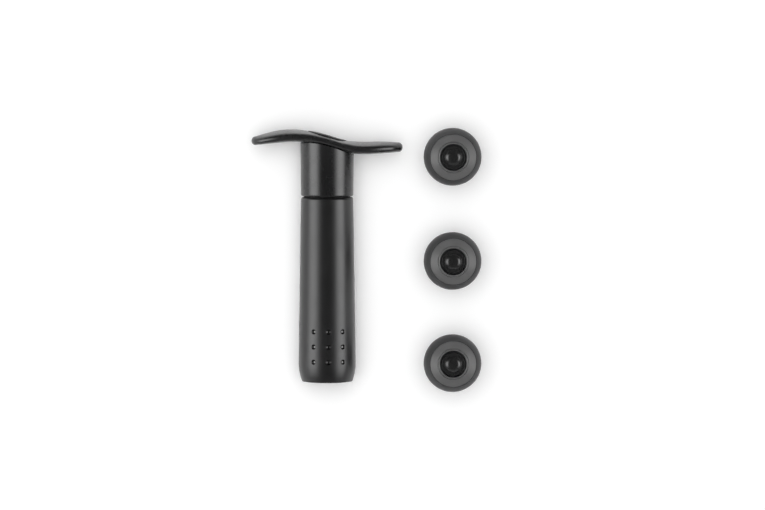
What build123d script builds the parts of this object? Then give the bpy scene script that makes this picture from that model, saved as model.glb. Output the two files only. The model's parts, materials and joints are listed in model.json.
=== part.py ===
from build123d import *
import math
import os

os.makedirs("parts", exist_ok=True)

# Hand pump for wine bottles, lying on its side, with three stoppers standing beside it.
# Lengths are millimetres. +Z is up, +Y runs along the pump from its mouth to its handle,
# and the origin is on the table under the middle of the set.

# Barrel casing, measured from the mouth
CASING_LENGTH = 103.5
CASING_WIDEST_R = 16.0
CASING_WIDEST_AT = 11.0
CASING_TOP_R = 14.65
CASING_BORE_R = 12.5
CASING_TOP_ROUND = 1.1
LIP_R = 14.1
LIP_ROUND = 0.6
LIP_SETBACK = 0.3

# Dimples near the mouth
DIMPLE_R = 1.25
DIMPLE_DEPTH = 0.36
DIMPLE_ROWS = 3
DIMPLE_COLUMNS = 3
DIMPLE_ROW_PITCH = 8.5
DIMPLE_FIRST_ROW_AT = 11.9
DIMPLE_COLUMN_ANGLE = 31.0

# Cylinder and the plug that closes it
LINER_BORE_R = 11.0
PLUG_FLANGE_TOP_AT = 8.0
PLUG_TOP_AT = 11.4
RECESS_R = 8.4
RECESS_DEPTH = 6.4
PORT_POCKET_R = 4.9
PORT_POCKET_TOP_AT = 8.4
GASKET_THICKNESS = 2.4
GASKET_BEAD = 0.5

# Ring seal between base plug and liner
O_RING_SECTION_R = 0.85
O_RING_GROOVE_WIDTH = 2.0

# Intake valve and its ports
VALVE_DISC_R = 5.4
VALVE_DISC_THICKNESS = 1.1
VALVE_STEM_R = 1.5
VALVE_BARB_R = 2.3
VALVE_BARB_LENGTH = 0.9
VALVE_LIFT = 0.9
PORT_R = 0.8
PORT_CIRCLE_R = 3.6
PORT_COUNT = 6

# Guide collar in the top of the barrel
COLLAR_FLANGE_R = 12.9
COLLAR_FLANGE_THICKNESS = 2.1
COLLAR_FLANGE_RISE = 0.4
COLLAR_BODY_LENGTH = 6.1
COLLAR_SPIGOT_LENGTH = 3.0
WIPER_POCKET_R = 8.9
WIPER_THICKNESS = 2.4
WIPER_POCKET_RISE = 2.2
COLLAR_VENT_R = 0.6
COLLAR_VENT_CIRCLE_R = 10.0
COLLAR_VENT_COUNT = 4

# Piston and its floating ring
PISTON_GAP = 0.8
PISTON_FLANGE_THICKNESS = 2.0
PISTON_GROOVE_WIDTH = 3.4
PISTON_SPIGOT_LENGTH = 4.0
RING_SECTION_R = 1.1
VENT_SLOT_COUNT = 6
VENT_SLOT_WIDTH = 1.6
VENT_SLOT_DEPTH = 0.7

# Rod
ROD_R = 7.0
ROD_FLAT_R = 6.1
ROD_BORE_R = 4.8
ROD_TOP_WALL = 16.0
ROD_POST_R = 2.9
ROD_POST_LENGTH = 16.0
ROD_RIB_THICKNESS = 1.2
ROD_RIB_COUNT = 4
ROD_SEAT_BELOW_CROWN = 7.9

# Screws
SCREW_SHANK_R = 1.6
SCREW_HEAD_R = 3.0
SCREW_HEAD_THICKNESS = 1.9
SCREW_LENGTH = 14.0
SCREW_SLOT_WIDTH = 0.8
SCREW_SLOT_LENGTH = 3.6
SCREW_SLOT_DEPTH = 1.1

# Handle, measured from the mouth and from the pump's axis
HANDLE_SPAN = 84.6
HANDLE_TROUGH_CROWN_AT = 134.4
HANDLE_TROUGH_THICKNESS = 6.9
HANDLE_WAVE_RISE = 7.1
HANDLE_TIP_R = 2.2
HANDLE_PLAN_POWER = 2.8
HANDLE_RIM_share = 0.33
HANDLE_CROWN_share = 0.66
HANDLE_SLICE_COUNT = 14
HANDLE_TIP_PLACE_shares = (0.965, 0.98, 0.99, 0.997)
# Each row: place along half the span, then crown and underside above their troughs
# as shares of the wave's rise
HANDLE_WAVE_shares = (
    (-0.95, 0.45, 0.73),
    (-0.71, 0.84, 0.88),
    (-0.44, 1.00, 1.00),
    (-0.17, 0.76, 0.87),
    (0.05, 0.41, 0.56),
    (0.16, 0.21, 0.34),
    (0.26, 0.09, 0.16),
    (0.52, 0.00, 0.00),
    (0.76, 0.02, 0.08),
    (0.95, -0.05, 0.16),
)
HANDLE_SPIGOT_R = 8.9
SOCKET_DEPTH = 4.5

# Inlay cap on the handle
CAP_R = 10.6
CAP_PROUD = 0.65
CAP_SEAT = 1.2

# Sleeve under the handle
SLEEVE_BOTTOM_R = 14.7
SLEEVE_TOP_R = 14.95
SLEEVE_WALL = 1.6
SLEEVE_EDGE_ROUND = 1.2
SLEEVE_RIB_THICKNESS = 1.4
SLEEVE_RIB_COUNT = 4
SLEEVE_SLANT_ANGLE = 12.5

# Stoppers, measured up from the table
STOPPER_ACROSS = 69.8
STOPPER_LOWEST_AT = 10.7
STOPPER_LOWER_PITCH = 57.3
STOPPER_UPPER_PITCH = 58.3
STOPPER_BORE_R = 5.6
STOPPER_FOOT_R = 7.6
STOPPER_NECK_R = 8.4
STOPPER_PLUG_LENGTH = 22.0
STOPPER_FIN_R = 10.2
STOPPER_FIN_COUNT = 4
STOPPER_FIN_PITCH = 4.4
STOPPER_FIN_FIRST_AT = 3.0
STOPPER_FIN_TIP = 0.9
STOPPER_FIN_ROOT = 2.6
FLANGE_R = 16.15
FLANGE_UNDER_R = 14.7
FLANGE_STRAIGHT = 1.2
SHOULDER_RISE = 10.0
SHOULDER_R = 13.2
WELL_R = 7.5
WEB_THICKNESS = 3.0
WEB_HOLE_R = 2.5
FACE_RING_R = 12.7
FACE_RING_THICKNESS = 3.0
FACE_RING_PROUD = 0.15
FACE_RING_GROOVE_R = 8.5
FACE_RING_GROOVE_SECTION_R = 0.35

# Stopper valve
DOME_R = 6.7
DOME_RISE = 2.0
DOME_DEPTH = 6.0
DOME_TAPER = 0.5
BRIM_ROUND = 0.6
BOSS_TOP_R = 1.7
BOSS_ROUND = 4.0
BOSS_FOOT_ROUND = 0.8
BOSS_SLOPE = 50.0
VALVE_NECK_R = 3.0
STOPPER_STEM_R = 2.1
BULB_R = 3.3
BULB_GAP = 0.6
BULB_LENGTH = 6.0
BULB_SLIT_WIDTH = 0.3
BULB_SLIT_DEPTH = 2.5

# Turns, in degrees
FULL_TURN = 360.0
QUARTER_TURN = 90.0
EIGHTH_TURN = 45.0

# Clearances
PRESS_GAP = 0.1
SLIDE_GAP = 0.1
RING_GAP = 0.06
GROOVE_GAP = 0.15
RUN_GAP = 0.3
SLEEVE_GAP = 0.2
FLOAT_GAP = 0.1
STROKE_END_GAP = 0.4
OVERRUN = 1.0

# Places in the set
AXIS_HEIGHT = CASING_WIDEST_R
HANDLE_CREST_AT = HANDLE_TROUGH_CROWN_AT + HANDLE_WAVE_RISE
STOPPER_MIDDLE_AT = STOPPER_LOWEST_AT + STOPPER_LOWER_PITCH
STOPPER_HIGHEST_AT = STOPPER_MIDDLE_AT + STOPPER_UPPER_PITCH
SET_TOP = max(HANDLE_CREST_AT, STOPPER_HIGHEST_AT + FLANGE_R)
SET_BOTTOM = min(0, STOPPER_LOWEST_AT - FLANGE_R)
MOUTH_Y = -(SET_TOP + SET_BOTTOM) / 2
PUMP_X = -(STOPPER_ACROSS + FLANGE_R - HANDLE_SPAN / 2) / 2
STOPPER_X = PUMP_X + STOPPER_ACROSS

# Places along the pump's axis that several pieces share
VALVE_TOP_AT = PLUG_TOP_AT + VALVE_DISC_THICKNESS
PISTON_BOTTOM_AT = VALVE_TOP_AT + VALVE_LIFT + PISTON_GAP
PISTON_GROOVE_BOTTOM_AT = PISTON_BOTTOM_AT + PISTON_FLANGE_THICKNESS
PISTON_GROOVE_TOP_AT = PISTON_GROOVE_BOTTOM_AT + PISTON_GROOVE_WIDTH
PISTON_TOP_AT = PISTON_GROOVE_TOP_AT + PISTON_FLANGE_THICKNESS
RING_AT = PISTON_GROOVE_TOP_AT - FLOAT_GAP - RING_SECTION_R
COLLAR_TOP_AT = CASING_LENGTH + COLLAR_FLANGE_RISE
COLLAR_SEAT_AT = COLLAR_TOP_AT - COLLAR_FLANGE_THICKNESS
LINER_TOP_AT = COLLAR_SEAT_AT - COLLAR_BODY_LENGTH
COLLAR_BOTTOM_AT = LINER_TOP_AT - COLLAR_SPIGOT_LENGTH
SLEEVE_BOTTOM_AT = COLLAR_TOP_AT + SLEEVE_GAP
HANDLE_TROUGH_UNDERSIDE_AT = HANDLE_TROUGH_CROWN_AT - HANDLE_TROUGH_THICKNESS
HANDLE_CENTRE_CROWN_AT = HANDLE_CREST_AT - HANDLE_WAVE_RISE / 2
ROD_TOP_AT = HANDLE_CENTRE_CROWN_AT - ROD_SEAT_BELOW_CROWN
SPIGOT_BOTTOM_AT = ROD_TOP_AT - SOCKET_DEPTH
STROKE = COLLAR_BOTTOM_AT - PISTON_TOP_AT - STROKE_END_GAP
RING_FLOAT = PISTON_GROOVE_WIDTH - 2 * RING_SECTION_R - 2 * FLOAT_GAP

# Radii that several pieces share
LINER_R = CASING_BORE_R - PRESS_GAP
SPIGOT_R = LINER_BORE_R - PRESS_GAP
PISTON_R = LINER_BORE_R - RUN_GAP
PISTON_GROOVE_R = LINER_BORE_R - RING_GAP - 2 * RING_SECTION_R - GROOVE_GAP

PUMP_SECTION = Plane(origin=(PUMP_X, MOUTH_Y, AXIS_HEIGHT), x_dir=(1, 0, 0), z_dir=(0, 0, 1))
PUMP_AXIS = Axis((PUMP_X, MOUTH_Y, AXIS_HEIGHT), (0, 1, 0))


def across(place):
    """Plane square to the pump's axis, at a distance from the mouth."""
    return Plane(origin=(PUMP_X, MOUTH_Y + place, AXIS_HEIGHT), x_dir=(1, 0, 0), z_dir=(0, 1, 0))


def keyed_outline(place, grown=0):
    """The rod's outline, round with two flats, grown by a clearance."""
    with BuildSketch(across(place)) as outline:
        Circle(ROD_R + grown)
        Rectangle(2 * (ROD_FLAT_R + grown), 2 * (ROD_R + grown), mode=Mode.INTERSECT)
    return outline.sketch


def along_pump(distance):
    """Shift along the pump's axis."""
    return Location((0, distance, 0))


def keep(name, piece):
    """Label a finished piece and write its file."""
    piece.label = name
    export_step(piece, f"parts/{name}.step")


# Barrel casing
with BuildPart() as barrel_casing:
    with BuildSketch(PUMP_SECTION):
        with BuildLine():
            foot = TangentArc(
                (CASING_WIDEST_R, CASING_WIDEST_AT),
                (LIP_R, LIP_SETBACK),
                tangent=(0, -1),
            )
            Polyline(
                foot @ 1,
                (0, LIP_SETBACK),
                (0, CASING_LENGTH),
                (CASING_TOP_R, CASING_LENGTH),
                foot @ 0,
            )
        make_face()
    revolve(axis=PUMP_AXIS)
    top_edge = barrel_casing.edges().filter_by(GeomType.CIRCLE).sort_by(Axis.Y)[-1]
    fillet(top_edge, CASING_TOP_ROUND)
    lip_edge = barrel_casing.edges().filter_by(GeomType.CIRCLE).sort_by(Axis.Y)[0]
    fillet(lip_edge, LIP_ROUND)
    with BuildSketch(across(0)):
        Circle(CASING_BORE_R)
    extrude(amount=CASING_LENGTH + OVERRUN, mode=Mode.SUBTRACT)
    with BuildSketch(across(COLLAR_SEAT_AT)):
        Circle(COLLAR_FLANGE_R + PRESS_GAP)
    extrude(amount=COLLAR_FLANGE_THICKNESS, mode=Mode.SUBTRACT)
    casing_taper = (CASING_WIDEST_R - CASING_TOP_R) / (CASING_LENGTH - CASING_WIDEST_AT)
    dimple_sphere_r = (DIMPLE_R**2 + DIMPLE_DEPTH**2) / (2 * DIMPLE_DEPTH)
    for row in range(DIMPLE_ROWS):
        row_at = DIMPLE_FIRST_ROW_AT + row * DIMPLE_ROW_PITCH
        surface_r = CASING_WIDEST_R - casing_taper * max(0, row_at - CASING_WIDEST_AT)
        with Locations(across(row_at)):
            with PolarLocations(
                surface_r + dimple_sphere_r - DIMPLE_DEPTH,
                DIMPLE_COLUMNS,
                start_angle=-QUARTER_TURN - DIMPLE_COLUMN_ANGLE,
                angular_range=(DIMPLE_COLUMNS - 1) * DIMPLE_COLUMN_ANGLE,
                endpoint=True,
            ):
                Sphere(dimple_sphere_r, mode=Mode.SUBTRACT)
keep("barrel_casing", barrel_casing.part)

# Cylinder liner
with BuildPart() as cylinder_liner:
    with BuildSketch(across(PLUG_FLANGE_TOP_AT)):
        Circle(LINER_R)
        Circle(LINER_BORE_R, mode=Mode.SUBTRACT)
    extrude(amount=LINER_TOP_AT - PLUG_FLANGE_TOP_AT)
keep("cylinder_liner", cylinder_liner.part)

# Base plug, with the recess for a stopper's dome and the ports under the valve
O_RING_AT = (PLUG_FLANGE_TOP_AT + PLUG_TOP_AT) / 2
O_RING_GROOVE_R = LINER_BORE_R - 2 * RING_GAP - 2 * O_RING_SECTION_R
with BuildPart() as base_plug:
    with BuildSketch(PUMP_SECTION):
        with BuildLine():
            Polyline(
                (RECESS_R, GASKET_THICKNESS),
                (LINER_R, GASKET_THICKNESS),
                (LINER_R, PLUG_FLANGE_TOP_AT),
                (SPIGOT_R, PLUG_FLANGE_TOP_AT),
                (SPIGOT_R, O_RING_AT - O_RING_GROOVE_WIDTH / 2),
                (O_RING_GROOVE_R, O_RING_AT - O_RING_GROOVE_WIDTH / 2),
                (O_RING_GROOVE_R, O_RING_AT + O_RING_GROOVE_WIDTH / 2),
                (SPIGOT_R, O_RING_AT + O_RING_GROOVE_WIDTH / 2),
                (SPIGOT_R, PLUG_TOP_AT),
                (VALVE_STEM_R + SLIDE_GAP, PLUG_TOP_AT),
                (VALVE_STEM_R + SLIDE_GAP, PORT_POCKET_TOP_AT),
                (PORT_POCKET_R, PORT_POCKET_TOP_AT),
                (PORT_POCKET_R, RECESS_DEPTH),
                (RECESS_R, RECESS_DEPTH),
                close=True,
            )
        make_face()
    revolve(axis=PUMP_AXIS)
    with BuildSketch(across(PORT_POCKET_TOP_AT - OVERRUN)):
        with PolarLocations(PORT_CIRCLE_R, PORT_COUNT):
            Circle(PORT_R)
    extrude(amount=PLUG_TOP_AT - PORT_POCKET_TOP_AT + 2 * OVERRUN, mode=Mode.SUBTRACT)
keep("base_plug", base_plug.part)

# Ring seal on the base plug
with BuildPart() as base_o_ring:
    with BuildSketch(PUMP_SECTION):
        with Locations((LINER_BORE_R - RING_GAP - O_RING_SECTION_R, O_RING_AT)):
            Circle(O_RING_SECTION_R)
    revolve(axis=PUMP_AXIS)
keep("base_o_ring", base_o_ring.part)

# Mouth gasket, with a bead round its outer edge
with BuildPart() as mouth_gasket:
    with BuildSketch(PUMP_SECTION):
        with BuildLine():
            Polyline(
                (RECESS_R, GASKET_THICKNESS),
                (RECESS_R, GASKET_BEAD),
                (RECESS_R + GASKET_BEAD, 0),
                (LINER_R - GASKET_BEAD, 0),
                (LINER_R, GASKET_BEAD),
                (LINER_R, GASKET_THICKNESS),
                close=True,
            )
        make_face()
    revolve(axis=PUMP_AXIS)
keep("mouth_gasket", mouth_gasket.part)

# Intake valve: disc, stem and the barb that holds it
BARB_TOP_AT = PORT_POCKET_TOP_AT - VALVE_LIFT - FLOAT_GAP
BARB_BOTTOM_AT = BARB_TOP_AT - VALVE_BARB_LENGTH
with BuildPart() as intake_valve:
    with BuildSketch(PUMP_SECTION):
        with BuildLine():
            Polyline(
                (0, BARB_BOTTOM_AT),
                (VALVE_STEM_R, BARB_BOTTOM_AT),
                (VALVE_BARB_R, BARB_TOP_AT),
                (VALVE_STEM_R, BARB_TOP_AT),
                (VALVE_STEM_R, PLUG_TOP_AT),
                (VALVE_DISC_R, PLUG_TOP_AT),
                (VALVE_DISC_R, PLUG_TOP_AT + VALVE_DISC_THICKNESS / 2),
                (VALVE_STEM_R, VALVE_TOP_AT),
                (0, VALVE_TOP_AT),
                close=True,
            )
        make_face()
    revolve(axis=PUMP_AXIS)
keep("intake_valve", intake_valve.part)

# Guide collar, with the keyed opening, the wiper's pocket and the vents
POCKET_BOTTOM_AT = LINER_TOP_AT + WIPER_POCKET_RISE
with BuildPart() as guide_collar:
    with BuildSketch(PUMP_SECTION):
        with BuildLine():
            Polyline(
                (0, COLLAR_BOTTOM_AT),
                (SPIGOT_R, COLLAR_BOTTOM_AT),
                (SPIGOT_R, LINER_TOP_AT),
                (LINER_R, LINER_TOP_AT),
                (LINER_R, COLLAR_SEAT_AT),
                (COLLAR_FLANGE_R, COLLAR_SEAT_AT),
                (COLLAR_FLANGE_R, COLLAR_TOP_AT),
                (0, COLLAR_TOP_AT),
                close=True,
            )
        make_face()
    revolve(axis=PUMP_AXIS)
    extrude(
        keyed_outline(COLLAR_BOTTOM_AT - OVERRUN, SLIDE_GAP),
        amount=COLLAR_TOP_AT - COLLAR_BOTTOM_AT + 2 * OVERRUN,
        mode=Mode.SUBTRACT,
    )
    with BuildSketch(across(POCKET_BOTTOM_AT)):
        Circle(WIPER_POCKET_R)
    extrude(amount=WIPER_THICKNESS, mode=Mode.SUBTRACT)
    with BuildSketch(across(COLLAR_BOTTOM_AT - OVERRUN)):
        with PolarLocations(COLLAR_VENT_CIRCLE_R, COLLAR_VENT_COUNT, start_angle=EIGHTH_TURN):
            Circle(COLLAR_VENT_R)
    extrude(amount=COLLAR_TOP_AT - COLLAR_BOTTOM_AT + 2 * OVERRUN, mode=Mode.SUBTRACT)
keep("guide_collar", guide_collar.part)

# Rod wiper
with BuildPart() as rod_wiper:
    with BuildSketch(across(POCKET_BOTTOM_AT)):
        Circle(WIPER_POCKET_R - PRESS_GAP)
    extrude(amount=WIPER_THICKNESS)
    extrude(
        keyed_outline(POCKET_BOTTOM_AT - OVERRUN, RING_GAP),
        amount=WIPER_THICKNESS + 2 * OVERRUN,
        mode=Mode.SUBTRACT,
    )
keep("rod_wiper", rod_wiper.part)

# Piston rod: a tube with two flats, a solid top and a ribbed screw post in its open end
ROD_BORE_TOP_AT = ROD_TOP_AT - ROD_TOP_WALL
POST_BOTTOM_AT = PISTON_TOP_AT + PISTON_SPIGOT_LENGTH
SCREW_PILOT_R = SCREW_SHANK_R + RING_GAP
with BuildPart() as piston_rod:
    extrude(keyed_outline(PISTON_TOP_AT), amount=ROD_TOP_AT - PISTON_TOP_AT)
    with BuildSketch(across(PISTON_TOP_AT)):
        Circle(ROD_BORE_R)
    extrude(amount=ROD_BORE_TOP_AT - PISTON_TOP_AT, mode=Mode.SUBTRACT)
    with BuildSketch(across(POST_BOTTOM_AT)):
        Circle(ROD_POST_R)
        with PolarLocations(ROD_BORE_R / 2, ROD_RIB_COUNT, start_angle=EIGHTH_TURN):
            Rectangle(ROD_BORE_R + ROD_RIB_THICKNESS, ROD_RIB_THICKNESS)
        Circle(SCREW_PILOT_R, mode=Mode.SUBTRACT)
    extrude(amount=ROD_POST_LENGTH)
    with BuildSketch(across(ROD_TOP_AT - SCREW_LENGTH)):
        Circle(SCREW_PILOT_R)
    extrude(amount=SCREW_LENGTH + OVERRUN, mode=Mode.SUBTRACT)
keep("piston_rod", piston_rod.part)

# Piston head: two flanges, the ring's groove, vent slots past the upper flange
PISTON_SCREW_SEAT_AT = PISTON_BOTTOM_AT + SCREW_HEAD_THICKNESS + FLOAT_GAP
SPIGOT_TOP_AT = PISTON_TOP_AT + PISTON_SPIGOT_LENGTH - FLOAT_GAP
with BuildPart() as piston_head:
    with BuildSketch(PUMP_SECTION):
        with BuildLine():
            Polyline(
                (0, PISTON_BOTTOM_AT),
                (PISTON_R, PISTON_BOTTOM_AT),
                (PISTON_R, PISTON_GROOVE_BOTTOM_AT),
                (PISTON_GROOVE_R, PISTON_GROOVE_BOTTOM_AT),
                (PISTON_GROOVE_R, PISTON_GROOVE_TOP_AT),
                (PISTON_R, PISTON_GROOVE_TOP_AT),
                (PISTON_R, PISTON_TOP_AT),
                (ROD_BORE_R - PRESS_GAP, PISTON_TOP_AT),
                (ROD_BORE_R - PRESS_GAP, SPIGOT_TOP_AT),
                (0, SPIGOT_TOP_AT),
                close=True,
            )
        make_face()
    revolve(axis=PUMP_AXIS)
    with BuildSketch(across(PISTON_GROOVE_BOTTOM_AT + PISTON_GROOVE_WIDTH / 2)):
        with PolarLocations(PISTON_R, VENT_SLOT_COUNT):
            Rectangle(2 * (PISTON_R - PISTON_GROOVE_R + VENT_SLOT_DEPTH), VENT_SLOT_WIDTH)
    extrude(amount=PISTON_TOP_AT - PISTON_GROOVE_BOTTOM_AT, mode=Mode.SUBTRACT)
    with Locations(across(PISTON_BOTTOM_AT)):
        Hole(SCREW_SHANK_R + SLIDE_GAP)
    with BuildSketch(across(PISTON_BOTTOM_AT)):
        Circle(SCREW_HEAD_R + PRESS_GAP)
    extrude(amount=PISTON_SCREW_SEAT_AT - PISTON_BOTTOM_AT, mode=Mode.SUBTRACT)
keep("piston_head", piston_head.part)

# Floating piston ring
with BuildPart() as piston_ring:
    with BuildSketch(PUMP_SECTION):
        with Locations((LINER_BORE_R - RING_GAP - RING_SECTION_R, RING_AT)):
            Circle(RING_SECTION_R)
    revolve(axis=PUMP_AXIS)
keep("piston_ring", piston_ring.part)


def cross_recess_screw(head_seat_at, toward_handle):
    """Pan head screw on the pump's axis, with a cross recess in its head."""
    way = 1 if toward_handle else -1
    head_end = head_seat_at - way * SCREW_HEAD_THICKNESS
    with BuildPart() as screw:
        with BuildSketch(PUMP_SECTION):
            with BuildLine():
                Polyline(
                    (0, head_end),
                    (SCREW_HEAD_R - SCREW_HEAD_THICKNESS / 3, head_end),
                    (SCREW_HEAD_R, head_end + way * SCREW_HEAD_THICKNESS / 3),
                    (SCREW_HEAD_R, head_seat_at),
                    (SCREW_SHANK_R, head_seat_at),
                    (SCREW_SHANK_R, head_seat_at + way * (SCREW_LENGTH - SCREW_SHANK_R)),
                    (0, head_seat_at + way * SCREW_LENGTH),
                    close=True,
                )
            make_face()
        revolve(axis=PUMP_AXIS)
        with BuildSketch(across(head_end)):
            Rectangle(SCREW_SLOT_LENGTH, SCREW_SLOT_WIDTH)
            Rectangle(SCREW_SLOT_WIDTH, SCREW_SLOT_LENGTH)
        extrude(amount=way * SCREW_SLOT_DEPTH, mode=Mode.SUBTRACT)
    return screw.part


keep("piston_screw", cross_recess_screw(PISTON_SCREW_SEAT_AT, toward_handle=True))


def handle_slice(across_at, crown, underside):
    """Slice across the handle: a crowned top, round rims and a gentle belly."""
    place_share = abs(across_at) / (HANDLE_SPAN / 2)
    half_depth = AXIS_HEIGHT * math.sqrt(1 - place_share**HANDLE_PLAN_POWER)
    thickness = crown - underside
    rim_r = HANDLE_RIM_share * thickness
    spare = thickness - 2 * rim_r
    middle = crown - HANDLE_CROWN_share * spare - rim_r
    inner = half_depth - rim_r
    crown_turn = 2 * math.atan2(crown - middle - rim_r, inner)
    belly_turn = 2 * math.atan2(middle - rim_r - underside, inner)
    top = (inner + rim_r * math.sin(crown_turn), middle + rim_r * math.cos(crown_turn))
    bottom = (inner + rim_r * math.sin(belly_turn), middle - rim_r * math.cos(belly_turn))
    slice_plane = Plane(
        origin=(PUMP_X + across_at, MOUTH_Y, AXIS_HEIGHT),
        x_dir=(0, 0, -1),
        z_dir=(1, 0, 0),
    )
    with BuildSketch(slice_plane) as outline:
        with BuildLine():
            ThreePointArc((-top[0], top[1]), (0, crown), top)
            ThreePointArc(top, (half_depth, middle), bottom)
            ThreePointArc(bottom, (0, underside), (-bottom[0], bottom[1]))
            ThreePointArc((-bottom[0], bottom[1]), (-half_depth, middle), (-top[0], top[1]))
        make_face()
    return outline.sketch


def tip_slice(end, place_share):
    """Slice in a rounded tip, thinner towards the end of the span."""
    place = place_share * HANDLE_SPAN / 2
    into_tip = max(0, place - (HANDLE_SPAN / 2 - HANDLE_TIP_R))
    middle = (end.Y + end.Z) / 2
    half = (end.Y - end.Z) / 2 * math.sqrt(1 - (into_tip / HANDLE_TIP_R) ** 2)
    return handle_slice(math.copysign(place, end.X), middle + half, middle - half)


# Smooth line through the stations: place, crown height and underside height
wave_line = Spline(
    *[
        (
            place * HANDLE_SPAN / 2,
            HANDLE_TROUGH_CROWN_AT + crown_share * HANDLE_WAVE_RISE,
            HANDLE_TROUGH_UNDERSIDE_AT + underside_share * HANDLE_WAVE_RISE,
        )
        for place, crown_share, underside_share in HANDLE_WAVE_shares
    ]
)

# Whole form of the handle, lofted through slices that crowd towards the tips
left_end = wave_line @ 0
right_end = wave_line @ 1
handle_slices = [tip_slice(left_end, share) for share in reversed(HANDLE_TIP_PLACE_shares)]
for step in range(HANDLE_SLICE_COUNT + 1):
    way_along = (1 - math.cos(math.pi * step / HANDLE_SLICE_COUNT)) / 2
    station = wave_line @ way_along
    handle_slices.append(handle_slice(station.X, station.Y, station.Z))
handle_slices += [tip_slice(right_end, share) for share in HANDLE_TIP_PLACE_shares]
with BuildPart() as handle_form:
    loft(handle_slices)

# Slanted plane that runs inside the handle's thickness over the sleeve
HANDLE_CENTRE_AT = HANDLE_CENTRE_CROWN_AT - HANDLE_TROUGH_THICKNESS / 2
slant = math.radians(SLEEVE_SLANT_ANGLE)
INSIDE_HANDLE = Plane(
    origin=(PUMP_X, MOUTH_Y + HANDLE_CENTRE_AT, AXIS_HEIGHT),
    x_dir=(0, 0, 1),
    z_dir=(math.sin(slant), math.cos(slant), 0),
)

# Pocket under the cap, following the crown
with BuildPart() as cap_pocket:
    with BuildSketch(across(HANDLE_TROUGH_UNDERSIDE_AT)):
        Circle(CAP_R + PRESS_GAP)
    extrude(amount=HANDLE_WAVE_RISE + 2 * HANDLE_TROUGH_THICKNESS)
    split(bisect_by=INSIDE_HANDLE, keep=Keep.TOP)
    add(handle_form.part.moved(along_pump(-CAP_SEAT)), mode=Mode.SUBTRACT)

# Handle grip: the wave, a spigot for the sleeve, a socket for the rod, a seat for the screw
HANDLE_SCREW_SEAT_AT = ROD_TOP_AT + SCREW_HEAD_THICKNESS
with BuildPart() as handle_grip:
    add(handle_form.part)
    with BuildSketch(across(SPIGOT_BOTTOM_AT)):
        Circle(HANDLE_SPIGOT_R)
    extrude(amount=HANDLE_CENTRE_AT - SPIGOT_BOTTOM_AT)
    extrude(keyed_outline(SPIGOT_BOTTOM_AT, PRESS_GAP), amount=SOCKET_DEPTH, mode=Mode.SUBTRACT)
    with BuildSketch(across(ROD_TOP_AT)):
        Circle(SCREW_SHANK_R + SLIDE_GAP)
    extrude(amount=HANDLE_TROUGH_THICKNESS, mode=Mode.SUBTRACT)
    with BuildSketch(across(HANDLE_SCREW_SEAT_AT)):
        Circle(SCREW_HEAD_R + PRESS_GAP)
    extrude(amount=HANDLE_TROUGH_THICKNESS, mode=Mode.SUBTRACT)
    add(cap_pocket.part, mode=Mode.SUBTRACT)
keep("handle_grip", handle_grip.part)

keep("handle_screw", cross_recess_screw(HANDLE_SCREW_SEAT_AT, toward_handle=False))

# Cap let into the crown, standing a little proud of it
with BuildPart() as handle_cap:
    with BuildSketch(across(HANDLE_TROUGH_UNDERSIDE_AT)):
        Circle(CAP_R)
    extrude(amount=HANDLE_WAVE_RISE + 2 * HANDLE_TROUGH_THICKNESS)
    split(bisect_by=INSIDE_HANDLE, keep=Keep.TOP)
    add(handle_form.part.moved(along_pump(CAP_PROUD)), mode=Mode.INTERSECT)
    add(handle_form.part.moved(along_pump(-CAP_SEAT)), mode=Mode.SUBTRACT)
keep("handle_cap", handle_cap.part)


def sleeve_middle_r(place):
    """Radius of the middle of the sleeve's wall at a distance from the mouth."""
    up_share = (place - SLEEVE_BOTTOM_AT) / (HANDLE_CREST_AT - SLEEVE_BOTTOM_AT)
    return SLEEVE_BOTTOM_R + up_share * (SLEEVE_TOP_R - SLEEVE_BOTTOM_R) - SLEEVE_WALL / 2


# One inner rib of the sleeve, from the handle's spigot into the wall
RIB_INNER_R = HANDLE_SPIGOT_R + PRESS_GAP
with BuildPart() as sleeve_rib:
    with BuildSketch(PUMP_SECTION):
        with BuildLine():
            Polyline(
                (RIB_INNER_R, SPIGOT_BOTTOM_AT),
                (sleeve_middle_r(SPIGOT_BOTTOM_AT), SPIGOT_BOTTOM_AT),
                (sleeve_middle_r(HANDLE_CREST_AT), HANDLE_CREST_AT),
                (RIB_INNER_R, HANDLE_CREST_AT),
                close=True,
            )
        make_face()
    extrude(amount=SLEEVE_RIB_THICKNESS / 2, both=True)

# Neck sleeve: a flared skirt with inner ribs, cut to the underside of the handle
with BuildPart() as neck_sleeve:
    with BuildSketch(PUMP_SECTION):
        with BuildLine():
            Polyline(
                (SLEEVE_BOTTOM_R, SLEEVE_BOTTOM_AT),
                (SLEEVE_TOP_R, HANDLE_CREST_AT),
                (SLEEVE_TOP_R - SLEEVE_WALL, HANDLE_CREST_AT),
                (SLEEVE_BOTTOM_R - SLEEVE_WALL, SLEEVE_BOTTOM_AT),
                close=True,
            )
        make_face()
    revolve(axis=PUMP_AXIS)
    bottom_edges = neck_sleeve.edges().filter_by(GeomType.CIRCLE).group_by(Axis.Y)[0]
    fillet(bottom_edges.sort_by(SortBy.RADIUS)[-1], SLEEVE_EDGE_ROUND)
    for rib in range(SLEEVE_RIB_COUNT):
        add(sleeve_rib.part.rotate(PUMP_AXIS, EIGHTH_TURN + rib * FULL_TURN / SLEEVE_RIB_COUNT))
    split(bisect_by=INSIDE_HANDLE, keep=Keep.BOTTOM)
    add(handle_form.part, mode=Mode.SUBTRACT)
keep("neck_sleeve", neck_sleeve.part)

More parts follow.
